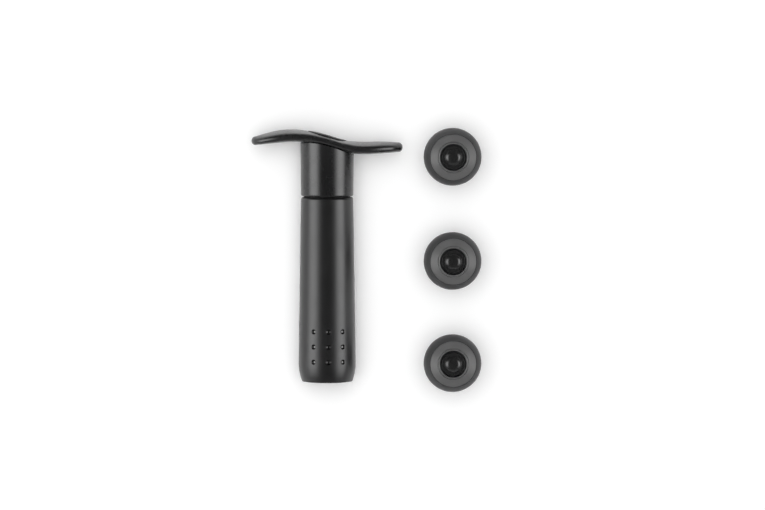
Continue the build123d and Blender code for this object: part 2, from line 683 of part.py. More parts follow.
# Heights in a stopper
WEB_BOTTOM = STOPPER_PLUG_LENGTH
WEB_TOP = WEB_BOTTOM + WEB_THICKNESS
SHOULDER_TOP = STOPPER_PLUG_LENGTH + SHOULDER_RISE
FACE_RING_TOP = SHOULDER_TOP + FACE_RING_PROUD
FACE_RING_BOTTOM = FACE_RING_TOP - FACE_RING_THICKNESS
DOME_TOP = FACE_RING_TOP + DOME_RISE
BRIM_TOP = DOME_TOP - (BOSS_ROUND + BOSS_FOOT_ROUND) * (1 - math.cos(math.radians(BOSS_SLOPE)))
DOME_BOTTOM = DOME_TOP - DOME_DEPTH


def stopper_section(place):
    """Upright plane through a stopper's axis."""
    return Plane(origin=(STOPPER_X, MOUTH_Y + place, 0), x_dir=(1, 0, 0), z_dir=(0, -1, 0))


def stopper_axis(place):
    """Upright axis of a stopper."""
    return Axis((STOPPER_X, MOUTH_Y + place, 0), (0, 0, 1))


def stopper_plug(place):
    """Rubber body: a finned hollow plug under a broad flange with a well in its top."""
    with BuildPart() as plug:
        with BuildSketch(stopper_section(place)):
            with BuildLine():
                Line((STOPPER_BORE_R, 0), (STOPPER_FOOT_R, 0))
                Line((STOPPER_FOOT_R, 0), (STOPPER_NECK_R, STOPPER_FIN_FIRST_AT))
                Line((STOPPER_NECK_R, STOPPER_FIN_FIRST_AT), (STOPPER_NECK_R, STOPPER_PLUG_LENGTH))
                Line((STOPPER_NECK_R, STOPPER_PLUG_LENGTH), (FLANGE_UNDER_R, STOPPER_PLUG_LENGTH))
                rim = JernArc(
                    (FLANGE_UNDER_R, STOPPER_PLUG_LENGTH),
                    (1, 0),
                    FLANGE_R - FLANGE_UNDER_R,
                    QUARTER_TURN,
                )
                side = Line(rim @ 1, (rim @ 1) + (0, FLANGE_STRAIGHT))
                shoulder = TangentArc(side @ 1, (SHOULDER_R, SHOULDER_TOP), tangent=side % 1)
                Polyline(
                    shoulder @ 1,
                    (FACE_RING_R + PRESS_GAP, SHOULDER_TOP),
                    (FACE_RING_R + PRESS_GAP, FACE_RING_BOTTOM),
                    (WELL_R, FACE_RING_BOTTOM),
                    (WELL_R, WEB_TOP),
                    (WEB_HOLE_R, WEB_TOP),
                    (WEB_HOLE_R, WEB_BOTTOM),
                    (STOPPER_BORE_R, WEB_BOTTOM),
                    (STOPPER_BORE_R, 0),
                )
            make_face()
        for fin in range(STOPPER_FIN_COUNT):
            fin_at = STOPPER_FIN_FIRST_AT + fin * STOPPER_FIN_PITCH
            with BuildSketch(stopper_section(place)):
                with BuildLine():
                    Polyline(
                        (STOPPER_NECK_R - STOPPER_FIN_TIP, fin_at),
                        (STOPPER_NECK_R, fin_at),
                        (STOPPER_FIN_R, fin_at + STOPPER_FIN_ROOT - STOPPER_FIN_TIP),
                        (STOPPER_FIN_R, fin_at + STOPPER_FIN_ROOT),
                        (STOPPER_NECK_R - STOPPER_FIN_TIP, fin_at + STOPPER_FIN_ROOT),
                        close=True,
                    )
                make_face()
        revolve(axis=stopper_axis(place))
    return plug.part


def stopper_face_ring(place):
    """Hard ring let into the stopper's top, with a fine groove round its opening."""
    with BuildPart() as ring:
        with BuildSketch(stopper_section(place)):
            with Locations(((WELL_R + FACE_RING_R) / 2, (FACE_RING_BOTTOM + FACE_RING_TOP) / 2)):
                Rectangle(FACE_RING_R - WELL_R, FACE_RING_THICKNESS)
            with Locations((FACE_RING_GROOVE_R, FACE_RING_TOP)):
                Circle(FACE_RING_GROOVE_SECTION_R, mode=Mode.SUBTRACT)
        revolve(axis=stopper_axis(place))
        top_edges = ring.edges().filter_by(GeomType.CIRCLE).group_by(Axis.Z)[-1]
        fillet(top_edges.sort_by(SortBy.RADIUS)[-1], FACE_RING_PROUD)
    return ring.part


def stopper_valve(place):
    """Rubber valve: a bossed dome in the well, a neck through the web and a slit bulb."""
    bulb_top = WEB_BOTTOM - BULB_GAP
    with BuildPart() as valve:
        with BuildSketch(stopper_section(place)):
            with BuildLine():
                Line((0, DOME_TOP), (BOSS_TOP_R, DOME_TOP))
                boss = JernArc((BOSS_TOP_R, DOME_TOP), (1, 0), BOSS_ROUND, -BOSS_SLOPE)
                boss_foot = JernArc(boss @ 1, boss % 1, BOSS_FOOT_ROUND, BOSS_SLOPE)
                Line(boss_foot @ 1, (DOME_R - BRIM_ROUND, BRIM_TOP))
                brim = JernArc((DOME_R - BRIM_ROUND, BRIM_TOP), (1, 0), BRIM_ROUND, -QUARTER_TURN)
                Polyline(
                    (0, DOME_TOP),
                    (0, bulb_top - BULB_LENGTH),
                    (STOPPER_STEM_R, bulb_top - BULB_LENGTH),
                    (BULB_R, bulb_top - BULB_LENGTH / 2),
                    (BULB_R, bulb_top),
                    (STOPPER_STEM_R, bulb_top),
                    (STOPPER_STEM_R, WEB_TOP + RUN_GAP),
                    (VALVE_NECK_R, WEB_TOP + RUN_GAP),
                    (VALVE_NECK_R, DOME_BOTTOM),
                    (DOME_R - DOME_TAPER, DOME_BOTTOM),
                    brim @ 1,
                )
            make_face()
        revolve(axis=stopper_axis(place))
        slit_plane = Plane.XY.offset(bulb_top - BULB_LENGTH)
        with BuildSketch(slit_plane):
            with Locations((STOPPER_X, MOUTH_Y + place)):
                Rectangle(2 * BULB_R, BULB_SLIT_WIDTH)
        extrude(amount=BULB_SLIT_DEPTH, mode=Mode.SUBTRACT)
    return valve.part


# Three stoppers, the first by the handle
STOPPER_PLACES = (STOPPER_HIGHEST_AT, STOPPER_MIDDLE_AT, STOPPER_LOWEST_AT)
for number, stopper_at in enumerate(STOPPER_PLACES, start=1):
    keep(f"stopper_{number}_plug", stopper_plug(stopper_at))
    keep(f"stopper_{number}_face_ring", stopper_face_ring(stopper_at))
    keep(f"stopper_{number}_valve", stopper_valve(stopper_at))

print(f"stroke {STROKE:.2f}  ring float {RING_FLOAT:.2f}")
print(f"pump axis x {PUMP_X:.2f}  mouth y {MOUTH_Y:.2f}  height {AXIS_HEIGHT:.2f}")
print(f"stoppers x {STOPPER_X:.2f}  valve pivot height {WEB_TOP:.2f}  top {DOME_TOP:.2f}")
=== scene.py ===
import json
import math

import bmesh
import bpy
import numpy as np
from mathutils import Matrix, Vector


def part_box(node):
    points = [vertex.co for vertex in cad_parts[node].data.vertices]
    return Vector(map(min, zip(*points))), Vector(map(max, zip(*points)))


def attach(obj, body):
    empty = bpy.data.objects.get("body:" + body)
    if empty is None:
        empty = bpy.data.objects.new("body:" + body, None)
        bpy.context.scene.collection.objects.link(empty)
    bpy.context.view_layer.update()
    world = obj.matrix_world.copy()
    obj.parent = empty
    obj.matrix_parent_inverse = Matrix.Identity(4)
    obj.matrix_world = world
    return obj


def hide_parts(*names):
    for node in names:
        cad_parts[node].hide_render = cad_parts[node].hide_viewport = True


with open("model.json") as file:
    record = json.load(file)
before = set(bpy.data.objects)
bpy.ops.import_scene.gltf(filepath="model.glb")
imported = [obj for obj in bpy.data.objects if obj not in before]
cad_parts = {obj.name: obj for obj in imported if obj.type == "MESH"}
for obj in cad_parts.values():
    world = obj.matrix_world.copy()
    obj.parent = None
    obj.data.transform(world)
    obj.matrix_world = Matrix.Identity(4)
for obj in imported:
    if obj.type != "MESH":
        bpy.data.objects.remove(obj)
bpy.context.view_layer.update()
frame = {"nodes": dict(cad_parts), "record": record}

# Named sizes are millimetres and named angles are degrees, while Blender works in metres and
# radians. Shares, levels, powers and counts have no unit
MM = 0.001
HALF_TURN = 180.0
QUARTER_TURN = 90.0
MOUTH_LOW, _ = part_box("mouth_gasket")
CASING_LOW, CASING_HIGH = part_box("barrel_casing")
PUMP_X = (CASING_LOW.x + CASING_HIGH.x) / 2 / MM
AXIS_HEIGHT = (CASING_LOW.z + CASING_HIGH.z) / 2 / MM
MOUTH_Y = MOUTH_LOW.y / MM
PUMP_ORIGIN = Vector((PUMP_X, MOUTH_Y, AXIS_HEIGHT)) * MM

# Barrel casing, measured from the mouth and from the pump's axis
CASING_LENGTH = 103.5
CASING_WIDEST_R = 16.0
CASING_WIDEST_AT = 11.0
CASING_WIDEST_EASE = 2.0
CASING_TOP_R = 14.65
CASING_TOP_ROUND = 1.1
CASING_TOP_EASE = 0.15
CASING_BORE_R = 12.5
CASING_BORE_EASE = 0.25
LIP_R = 14.1
LIP_ROUND = 0.4
LIP_SETBACK = 0.3
FOOT_FROM = 1.3

# Dimples, each with a cupped floor inside a steep wall, in a window of the casing's grid
DIMPLE_R = 1.45
DIMPLE_DEPTH = 1.0
DIMPLE_FLOOR_R = 0.9
DIMPLE_FLOOR_CUP = 0.2
DIMPLE_FIRST_ROW_AT = 11.9
DIMPLE_ROW_PITCH = 8.5
DIMPLE_ROWS = 3
DIMPLE_COLUMN_ANGLES = (-31.0, 0.0, 31.0)
DIMPLE_WINDOW = 2.0

# Collar in the top of the casing
COLLAR_FLANGE_R = 12.9
COLLAR_SEAT_AT = 101.8

# Handle. Its rim's radius is a share of the thickness, and the crown over the rim takes a share
# of what is left. Over the sleeve that share is less, from one distance off the axis to another
HANDLE_SPAN = 84.6
HANDLE_TROUGH_CROWN_AT = 134.4
HANDLE_TROUGH_THICKNESS = 6.9
HANDLE_WAVE_RISE = 7.1
HANDLE_TIP_R = 2.2
HANDLE_PLAN_POWER = 2.8
HANDLE_RIM_share = 0.33
HANDLE_CROWN_share = 0.66
HANDLE_MIDDLE_LIFT_share = 0.16
HANDLE_MIDDLE_FROM = 17.0
HANDLE_MIDDLE_TO = 10.0
# Each row: place along half the span, then crown and underside above their troughs
# as shares of the wave's rise
HANDLE_WAVE_shares = (
    (-0.95, 0.45, 0.73),
    (-0.71, 0.84, 0.88),
    (-0.44, 1.00, 1.00),
    (-0.17, 0.76, 0.87),
    (0.05, 0.41, 0.56),
    (0.16, 0.21, 0.34),
    (0.26, 0.09, 0.16),
    (0.52, 0.00, 0.00),
    (0.76, 0.02, 0.08),
    (0.95, -0.05, 0.16),
)

# Spigot under the handle, and the rod in its socket
SPIGOT_R = 8.9
SPIGOT_BOTTOM_AT = 125.55
SPIGOT_EASE = 0.3
ROD_R = 7.0
ROD_FLAT_R = 6.1
ROD_TOP_AT = 130.05

# Cap let into the handle. Its face takes the crown's height at a share of the depth, so it is
# flatter from front to back
CAP_R = 10.6
CAP_PROUD = 0.2
CAP_CROWN_share = 0.35
CAP_SEAT = 1.2
CAP_EASE = 0.2
POCKET_EASE = 0.18
CAP_WINDOW = 12.6

# Neck sleeve and its inner ribs. The ribs sink into the handle, and the wall stops at a seam
SLEEVE_BOTTOM_AT = 104.1
SLEEVE_BOTTOM_R = 14.7
SLEEVE_TOP_R = 14.95
SLEEVE_CREST_AT = HANDLE_TROUGH_CROWN_AT + HANDLE_WAVE_RISE
SLEEVE_WALL = 1.6
SLEEVE_EDGE_ROUND = 1.2
SLEEVE_INNER_EASE = 0.2
SLEEVE_SINK = 0.4
SLEEVE_SEAM = 0.45
RIB_THICKNESS = 1.4
RIB_EASE = 0.35
RIB_ANGLES = (45.0, 135.0, 225.0, 315.0)

# Stoppers, measured up from the table
STOPPER_PLUG_LENGTH = 22.0
STOPPER_BORE_R = 5.6
STOPPER_FOOT_R = 7.6
STOPPER_FOOT_EASE = 0.35
STOPPER_NECK_R = 8.4
STOPPER_NECK_EASE = 0.5
STOPPER_FIN_R = 10.2
STOPPER_FIN_COUNT = 4
STOPPER_FIN_PITCH = 4.4
STOPPER_FIN_FIRST_AT = 3.0
STOPPER_FIN_TIP = 0.9
STOPPER_FIN_ROOT = 2.6
STOPPER_FIN_EASE = 0.18
FLANGE_R = 16.15
FLANGE_UNDER_R = 14.7
FLANGE_STRAIGHT = 1.2
SHOULDER_R = 13.2
SHOULDER_TOP = 32.0
SHOULDER_EASE = 0.12
WELL_R = 7.5
WEB_TOP = 25.0
WEB_THICKNESS = 3.0
WEB_HOLE_R = 2.5
WEB_EASE = 0.2

# Ring let into a stopper's top
FACE_RING_R = 12.7
FACE_RING_TOP = 32.15
FACE_RING_THICKNESS = 3.0
FACE_RING_FALL = 0.12
FACE_RING_EASE = 0.12
FACE_RING_WELL_EASE = 0.12
FACE_RING_GROOVE_R = 8.5
FACE_RING_GROOVE_WIDTH = 0.8
FACE_RING_GROOVE_DEPTH = 0.5
FACE_RING_GROOVE_EASE = 0.08

# Stopper valve
DOME_R = 6.5
DOME_TOP = 34.15
DOME_DEPTH = 6.0
DOME_TAPER = 0.5
DOME_EASE = 0.3
BRIM_EASE = 0.15
BOSS_TOP_R = 1.7
BOSS_ROUND = 3.4
BOSS_SLOPE = 60.0
BOSS_FOOT_EASE = 0.15
BRIM_TOP = 32.43
VALVE_NECK_R = 3.0
STOPPER_STEM_R = 2.1
BULB_R = 3.3
BULB_TOP = 21.4
BULB_LENGTH = 6.0
BULB_EASE = 0.5

# Clearances
PRESS_GAP = 0.1
RUN_GAP = 0.3

# Fineness of the meshes
SUPPORT_share = 0.5
TURN_STEPS = 160
CORNER_STEPS = 6
ARC_STEPS = 16
WALL_STEPS = 24
BACK_STEPS = 56
WINDOW_STEPS = 12
GAP_STEPS = 5
DIMPLE_RIM_STEPS = 2
DIMPLE_WALL_STEPS = 8
DIMPLE_FLOOR_STEPS = 4
CAP_WINDOW_STEPS = 24
CAP_FACE_STEPS = 9
CAP_FLOOR_STEPS = 6
POCKET_RIM_STEPS = 5
POCKET_FLOOR_STEPS = 5
HANDLE_END_STEPS = 34
RIM_STEPS = 9
BELLY_STEPS = 18
CROWN_WINDOW_share = 0.93
CROWN_EDGE_share = 0.965
ON_AXIS = 1e-6
WELD = 1e-7
SHARP_ANGLE = 40.0

# Photo frame and camera. The camera leans a little towards the handle and away from the stoppers
PHOTO_WIDTH = 765
PHOTO_MIDDLE_COLUMN = 382.5
PUMP_AXIS_COLUMN = 327.1
MM_PER_PIXEL = 0.56
VIEW_CENTRE_FROM_MOUTH = 70.95
CAMERA_DISTANCE = 4000.0
CAMERA_NEAREST = 10.0
CAMERA_FARTHEST = 20000.0
CAMERA_LEAN_TO_HANDLE = 3.5
CAMERA_LEAN_FROM_STOPPERS = 3.0
SENSOR_WIDTH = 36.0

# Floor and light. Edges of the strips are angles off the vertical. Their ends, and the rise
# of the light past the mouth, are the part of a direction that runs along the pump
FLOOR_HALF = 6000.0
FLOOR_COLOUR = (0.97, 0.97, 0.97, 1.0)
FLOOR_GLOW = 0.08
WHITE = (1.0, 1.0, 1.0, 1.0)
STRIP_LEFT_LEVEL = 5.1
STRIP_RIGHT_LEVEL = 5.3
STRIP_LEFT_INNER_EDGE = (31.0, 55.0)
STRIP_RIGHT_INNER_EDGE = (27.0, 50.0)
STRIP_LEFT_OUTER_EDGE = (74.0, 96.0)
STRIP_RIGHT_OUTER_EDGE = (66.0, 84.0)
STRIP_MOUTH_END = (-0.62, -0.08)
STRIP_HANDLE_END = (0.14, 0.50)
OVERHEAD_LEVEL = 0.08
MOUTH_END_LEVEL = 0.5
MOUTH_END_RISE = (-0.60, -0.85)
AMBIENT_LEVEL = 1.04
AMBIENT_LOW_share = 0.2
AMBIENT_POWER = 9.5
AMBIENT_LEAN_LEFT = 5.5
AMBIENT_LEAN_TO_HANDLE = 3.3

# Finish that all surfaces share: clouds in colour and gloss, fine scuffs along the pump,
# and edges that are rubbed lighter. Each range is where a value rises from nought to one
CLOUD_SIZE = 9.0
CLOUD_DETAIL = 4.0
CLOUD_RANGE = (0.3, 0.7)
CLOUD_MOTTLE_share = 0.10
CLOUD_ROUGHNESS = 0.03
SCUFF_SIZE = 0.25
SCUFF_DETAIL = 3.0
SCUFF_STRETCH_shares = (1.0, 26.0, 1.0)
SCUFF_RANGE = (0.62, 0.74)
SCUFF_ROUGHNESS = 0.04
GRAIN_DETAIL = 2.0
RUBBED_RANGE = (0.52, 0.60)
RUBBED_GAIN = 1.7
RUBBED_LIFT = 0.01
RUBBED_share = 0.25
PLAIN_GLOSS_share = 0.5
SHEEN_ROUGHNESS = 0.5
BRUSH_TURN_share = 0.25

# Finishes. Each row: colour, roughness, size and depth of the grain, and what sets it apart
FINISH_ROWS = {
    "casing_black": ((0.010, 0.010, 0.0104), 0.34, 0.35, 0.006, {}),
    # Inside the dimples: glossier than the casing, and darker as painted shade in the recess
    "dimple_shade_black": ((0.002, 0.002, 0.002), 0.12, 0.35, 0.001, {"gloss": 1.0}),
    "sleeve_black": ((0.0085, 0.0085, 0.009), 0.27, 0.35, 0.004, {}),
    "grip_black": ((0.012, 0.012, 0.0125), 0.27, 0.35, 0.004, {}),
    "cap_black": ((0.004, 0.004, 0.004), 0.55, 0.30, 0.004, {"gloss": 0.25}),
    # The collar is more matte than the casing, and its darker colour is painted shade in the gap between
    # sleeve and barrel
    "collar_black": ((0.004, 0.004, 0.004), 0.60, 0.35, 0.004, {"gloss": 0.25}),
    "base_black": ((0.012, 0.012, 0.012), 0.45, 0.35, 0.005, {}),
    "liner_white": ((0.62, 0.62, 0.60), 0.25, 0.40, 0.002, {"mottle": 0.03}),
    "rod_grey": ((0.060, 0.060, 0.062), 0.30, 0.35, 0.003, {}),
    "screw_steel": ((0.55, 0.55, 0.54), 0.28, 0.20, 0.003, {"metallic": 1.0}),
    "seal_rubber": ((0.014, 0.014, 0.014), 0.50, 0.25, 0.006, {"sheen": 0.1}),
    "valve_rubber": ((0.040, 0.040, 0.042), 0.50, 0.25, 0.004, {}),
    "stopper_rubber": (
        (0.052, 0.052, 0.053),
        0.52,
        0.22,
        0.010,
        {"mottle": 0.08, "sheen": 0.08, "gloss": 0.15},
    ),
    "ring_grey": (
        (0.100, 0.100, 0.100),
        0.46,
        0.20,
        0.006,
        {"lines": (0.45, 0.012), "gloss": 0.9, "brushed": 0.85},
    ),
    "dome_rubber": ((0.012, 0.012, 0.012), 0.24, 0.30, 0.003, {"wear": 0.1}),
}


def even_angles(steps):
    """Angles in radians, evenly round a turn."""
    return [2 * math.pi * step / steps for step in range(steps)]


def along_pump(radius, angle, place):
    """Point round the pump's axis. Angle 0 faces up from the table."""
    return Vector((radius * math.sin(angle), place, radius * math.cos(angle))) * MM


def upright(radius, angle, height):
    """Point round an upright axis."""
    return Vector((radius * math.cos(angle), radius * math.sin(angle), height)) * MM


def eased(outline):
    """Corners of (radius, place, ease) turned into arcs, with a support point on each side."""
    points = []
    for index, (radius, place, ease) in enumerate(outline):
        here = Vector((radius, place))
        if not ease:
            points.append(here)
            continue
        before = (Vector(outline[index - 1][:2]) - here).normalized()
        after = (Vector(outline[(index + 1) % len(outline)][:2]) - here).normalized()
        half = before.angle(after) / 2
        reach = ease / math.tan(half)
        centre = here + (before + after).normalized() * ease / math.sin(half)
        start = here + before * reach - centre
        end = here + after * reach - centre
        points.append(here + before * (reach + ease * SUPPORT_share))
        for step in range(CORNER_STEPS + 1):
            points.append(centre + start.slerp(end, step / CORNER_STEPS) * ease)
        points.append(here + after * (reach + ease * SUPPORT_share))
    return [(point.x, point.y) for point in points]


def turned(bm, outline, at, angles, left_out=None):
    """Turn a closed outline of (radius, place) round an axis and return its rings of vertices."""
    rings = []
    for radius, place in outline:
        if radius < ON_AXIS:
            rings.append([bm.verts.new(at(0, 0, place))])
        else:
            rings.append([bm.verts.new(at(radius, angle, place)) for angle in angles])
    count = len(angles)
    for row, low in enumerate(rings):
        high = rings[(row + 1) % len(rings)]
        if len(low) == 1 and len(high) == 1:
            continue
        for column in range(count):
            if left_out and left_out(row, column):
                continue
            after = (column + 1) % count
            # A ring on the axis is one vertex, so it can come up twice
            corners = [low[column % len(low)], low[after % len(low)]]
            corners += [high[after % len(high)], high[column % len(high)]]
            bm.faces.new(dict.fromkeys(corners))
    return rings


def patch(bm, loop, rings, centre=None):
    """Join a loop of vertices to rings of points inside it, and close the last on its centre.

    Returns the faces, from the loop inwards.
    """
    count = len(loop)
    outer = loop
    faces = []
    for ring in rings:
        inner = [bm.verts.new(point) for point in ring]
        for index in range(count):
            after = (index + 1) % count
            faces.append(bm.faces.new((outer[index], outer[after], inner[after], inner[index])))
        outer = inner
    if centre is not None:
        middle = bm.verts.new(centre)
        for index in range(count):
            faces.append(bm.faces.new((outer[index], outer[(index + 1) % count], middle)))
    return faces


def window_loop(rows, low_row, high_row, low_column, high_column):
    """Vertices round the edge of a rectangle of a grid."""
    loop = [(low_row, column) for column in range(low_column, high_column)]
    loop += [(row, high_column) for row in range(low_row, high_row)]
    loop += [(high_row, column) for column in range(high_column, low_column, -1)]
    loop += [(row, low_column) for row in range(high_row, low_row, -1)]
    return [rows[row][column] for row, column in loop]


def spread(low, high, steps):
    """Evenly spaced values from low to high, both ends included."""
    return [low + (high - low) * step / steps for step in range(steps + 1)]


def eased_step(share):
    """Smooth step from nought to one."""
    share = min(max(share, 0), 1)
    return share**2 * (3 - 2 * share)


def arc_drop(depth, reach, sag):
    """Drop of a shallow arc at a depth, given its drop at its reach."""
    if sag < ON_AXIS:
        return 0.0
    radius = (reach**2 + sag**2) / (2 * sag)
    return radius - math.sqrt(max(0.0, radius**2 - depth**2))


def arc(centre, radius, first_turn, last_turn, steps):
    """Corners on an arc, without ease. A turn of 0 faces outward and a quarter turn faces up."""
    corners = []
    for turn in spread(math.radians(first_turn), math.radians(last_turn), steps):
        corners.append((centre[0] + radius * math.cos(turn), centre[1] + radius * math.sin(turn), 0))
    return corners


def rounded_edge(ease):
    """Steps over a rounded edge: how far from the wall, and how far below the face."""
    turns = spread(0, math.radians(QUARTER_TURN), CORNER_STEPS)
    return [(ease * (1 - math.sin(turn)), ease * (1 - math.cos(turn))) for turn in turns]


def finished_mesh(name, bm, *finishes):
    """Mesh with its normals outward, smooth but for real corners, with its finishes in order."""
    loose = [vertex for vertex in bm.verts if not vertex.link_faces]
    bmesh.ops.delete(bm, geom=loose, context="VERTS")
    bmesh.ops.remove_doubles(bm, verts=bm.verts, dist=WELD)
    bmesh.ops.recalc_face_normals(bm, faces=bm.faces)
    mesh = bpy.data.meshes.new(name)
    bm.to_mesh(mesh)
    bm.free()
    mesh.shade_smooth()
    mesh.set_sharp_from_angle(angle=math.radians(SHARP_ANGLE))
    for finish in finishes:
        mesh.materials.append(FINISH[finish])
    return mesh


def piece(name, mesh, origin, body, slot, *nodes):
    """Object for a mesh, in its place, on its body, standing for its nodes."""
    made = bpy.data.objects.new(name, mesh)
    bpy.context.scene.collection.objects.link(made)
    made.location = origin
    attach(made, body)
    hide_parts(*nodes)
    return made


# Materials
def new_tree(owner):
    """Empty node tree of a material or world."""
    owner.use_nodes = True
    owner.node_tree.nodes.clear()
    return owner.node_tree


def add_node(tree, kind, settings=None, **inputs):
    """Node with its settings and inputs. An input is a value or another node's output."""
    made = tree.nodes.new(kind)
    for key, value in (settings or {}).items():
        setattr(made, key, value)
    for key, value in inputs.items():
        socket = made.inputs[int(key[1:])] if key[1:].isdigit() else made.inputs[key.replace("_", " ")]
        if isinstance(value, bpy.types.NodeSocket):
            tree.links.new(value, socket)
        else:
            socket.default_value = value
    return made


def math_node(tree, operation, first, second=0.0, clamp=False):
    """Output of a math node."""
    settings = {"operation": operation, "use_clamp": clamp}
    return add_node(tree, "ShaderNodeMath", settings, i0=first, i1=second).outputs[0]


def chained(tree, operation, value, *others):
    """Output of math nodes in a row, each of which takes in one more value."""
    for other in others:
        value = math_node(tree, operation, value, other)
    return value


def ranged(tree, value, low, high, to_low=0.0, to_high=1.0, smooth=False):
    """Output of a map range node."""
    settings = {"interpolation_type": "SMOOTHSTEP" if smooth else "LINEAR"}
    ends = {"i1": low, "i2": high, "i3": to_low, "i4": to_high}
    return add_node(tree, "ShaderNodeMapRange", settings, i0=value, **ends).outputs[0]


def noise(tree, place, size, detail, stretch=(1, 1, 1)):
    """Noise value with features of a size in millimetres, stretched along the axes."""
    scale = tuple(1 / (size * MM * along) for along in stretch)
    mapped = add_node(tree, "ShaderNodeMapping", Vector=place, Scale=scale).outputs[0]
    made = add_node(tree, "ShaderNodeTexNoise", Vector=mapped, Scale=1.0, Detail=detail)
    return made.outputs["Fac"]


def surface(
    name,
    colour,
    roughness,
    grain_size,
    grain_depth,
    mottle=CLOUD_MOTTLE_share,
    scuff=SCUFF_ROUGHNESS,
    wear=RUBBED_share,
    lines=None,
    metallic=0.0,
    sheen=0.0,
    gloss=PLAIN_GLOSS_share,
    brushed=0.0,
):
    """Material with mottled colour, moulded grain, fine scuffs and rubbed edges.

    Lines are turned ones, as their pitch and depth in millimetres. Brushed spreads the gloss
    across them.
    """
    material = bpy.data.materials.new(name)
    tree = new_tree(material)
    place = add_node(tree, "ShaderNodeTexCoord").outputs["Object"]

    cloud = noise(tree, place, CLOUD_SIZE, CLOUD_DETAIL)
    shade = ranged(tree, cloud, *CLOUD_RANGE, 1 - mottle, 1 + mottle)
    edge = add_node(tree, "ShaderNodeNewGeometry").outputs["Pointiness"]
    edge = ranged(tree, edge, *RUBBED_RANGE, 0.0, wear, smooth=True)
    base = add_node(tree, "ShaderNodeVectorMath", {"operation": "SCALE"}, i0=colour, Scale=shade)
    rubbed = [min(1.0, channel * RUBBED_GAIN + RUBBED_LIFT) for channel in colour]
    blend = add_node(tree, "ShaderNodeMix", {"data_type": "RGBA"}, Factor=edge)
    tree.links.new(base.outputs[0], blend.inputs["A"])
    blend.inputs["B"].default_value = (*rubbed, 1.0)

    scuffs = noise(tree, place, SCUFF_SIZE, SCUFF_DETAIL, SCUFF_STRETCH_shares)
    scuffs = ranged(tree, scuffs, *SCUFF_RANGE, smooth=True)
    rough = math_node(tree, "MULTIPLY_ADD", scuffs, scuff)
    rough.node.inputs[2].default_value = roughness
    cloud_rough = ranged(tree, cloud, *CLOUD_RANGE, -CLOUD_ROUGHNESS, CLOUD_ROUGHNESS)
    rough = math_node(tree, "ADD", rough, cloud_rough, clamp=True)

    grain = noise(tree, place, grain_size, GRAIN_DETAIL)
    bump = add_node(tree, "ShaderNodeBump", Strength=1.0, Distance=grain_depth * MM, Height=grain)
    if lines:
        line_pitch, line_depth = lines
        parts = add_node(tree, "ShaderNodeSeparateXYZ", Vector=place)
        squares = [math_node(tree, "POWER", parts.outputs[axis], 2.0) for axis in "XY"]
        radius = math_node(tree, "SQRT", math_node(tree, "ADD", *squares))
        phase = math_node(tree, "MULTIPLY", radius, 2 * math.pi / (line_pitch * MM))
        bump = add_node(
            tree,
            "ShaderNodeBump",
            Strength=1.0,
            Distance=line_depth * MM,
            Height=math_node(tree, "SINE", phase),
            Normal=bump.outputs[0],
        )
    shader = add_node(
        tree,
        "ShaderNodeBsdfPrincipled",
        Base_Color=blend.outputs["Result"],
        Roughness=rough,
        Metallic=metallic,
        Normal=bump.outputs[0],
        Specular_IOR_Level=gloss,
        Sheen_Weight=sheen,
        Sheen_Roughness=SHEEN_ROUGHNESS,
    )
    if brushed:
        # The turned lines run round the upright axis, so gloss spreads out from it
        around = {"direction_type": "RADIAL", "axis": "Z"}
        tree.links.new(add_node(tree, "ShaderNodeTangent", around).outputs[0], shader.inputs["Tangent"])
        shader.inputs["Anisotropic"].default_value = brushed
        shader.inputs["Anisotropic Rotation"].default_value = BRUSH_TURN_share
    show(tree, "ShaderNodeOutputMaterial", shader)
    return material


def show(tree, kind, shader):
    """Send a shader to the output node of a material or world."""
    output = add_node(tree, kind)
    tree.links.new(shader.outputs[0], output.inputs["Surface"])


FINISH = {name: surface(name, *row, **extras) for name, (*row, extras) in FINISH_ROWS.items()}


# Barrel casing
def casing_radius(place):
    """Outer radius of the casing at a distance from the mouth."""
    taper = (CASING_WIDEST_R - CASING_TOP_R) / (CASING_LENGTH - CASING_WIDEST_AT)
    beyond = place - CASING_WIDEST_AT
    narrowed = taper * (beyond + math.hypot(beyond, CASING_WIDEST_EASE)) / 2
    foot_drop = arc_drop(max(0, -beyond), CASING_WIDEST_AT - LIP_SETBACK, CASING_WIDEST_R - LIP_R)
    return CASING_WIDEST_R - narrowed - foot_drop


def windowed(low, centres, half, high, end_steps):
    """Grid lines from low to high with finer stretches round some centres."""
    lines = spread(low, centres[0] - half, end_steps)[:-1]
    for index, centre in enumerate(centres):
        lines += spread(centre - half, centre + half, WINDOW_STEPS)
        if index + 1 < len(centres):
            lines += spread(centre + half, centres[index + 1] - half, GAP_STEPS)[1:-1]
    return lines + spread(centres[-1] + half, high, end_steps)[1:]


def dimple_depth(distance):
    """Depth of a dimple at a distance from its middle: a cupped floor inside a steep wall."""
    cupped = arc_drop(min(distance, DIMPLE_FLOOR_R), DIMPLE_FLOOR_R, DIMPLE_FLOOR_CUP)
    return (DIMPLE_DEPTH - cupped) * eased_step((DIMPLE_R - distance) / (DIMPLE_R - DIMPLE_FLOOR_R))


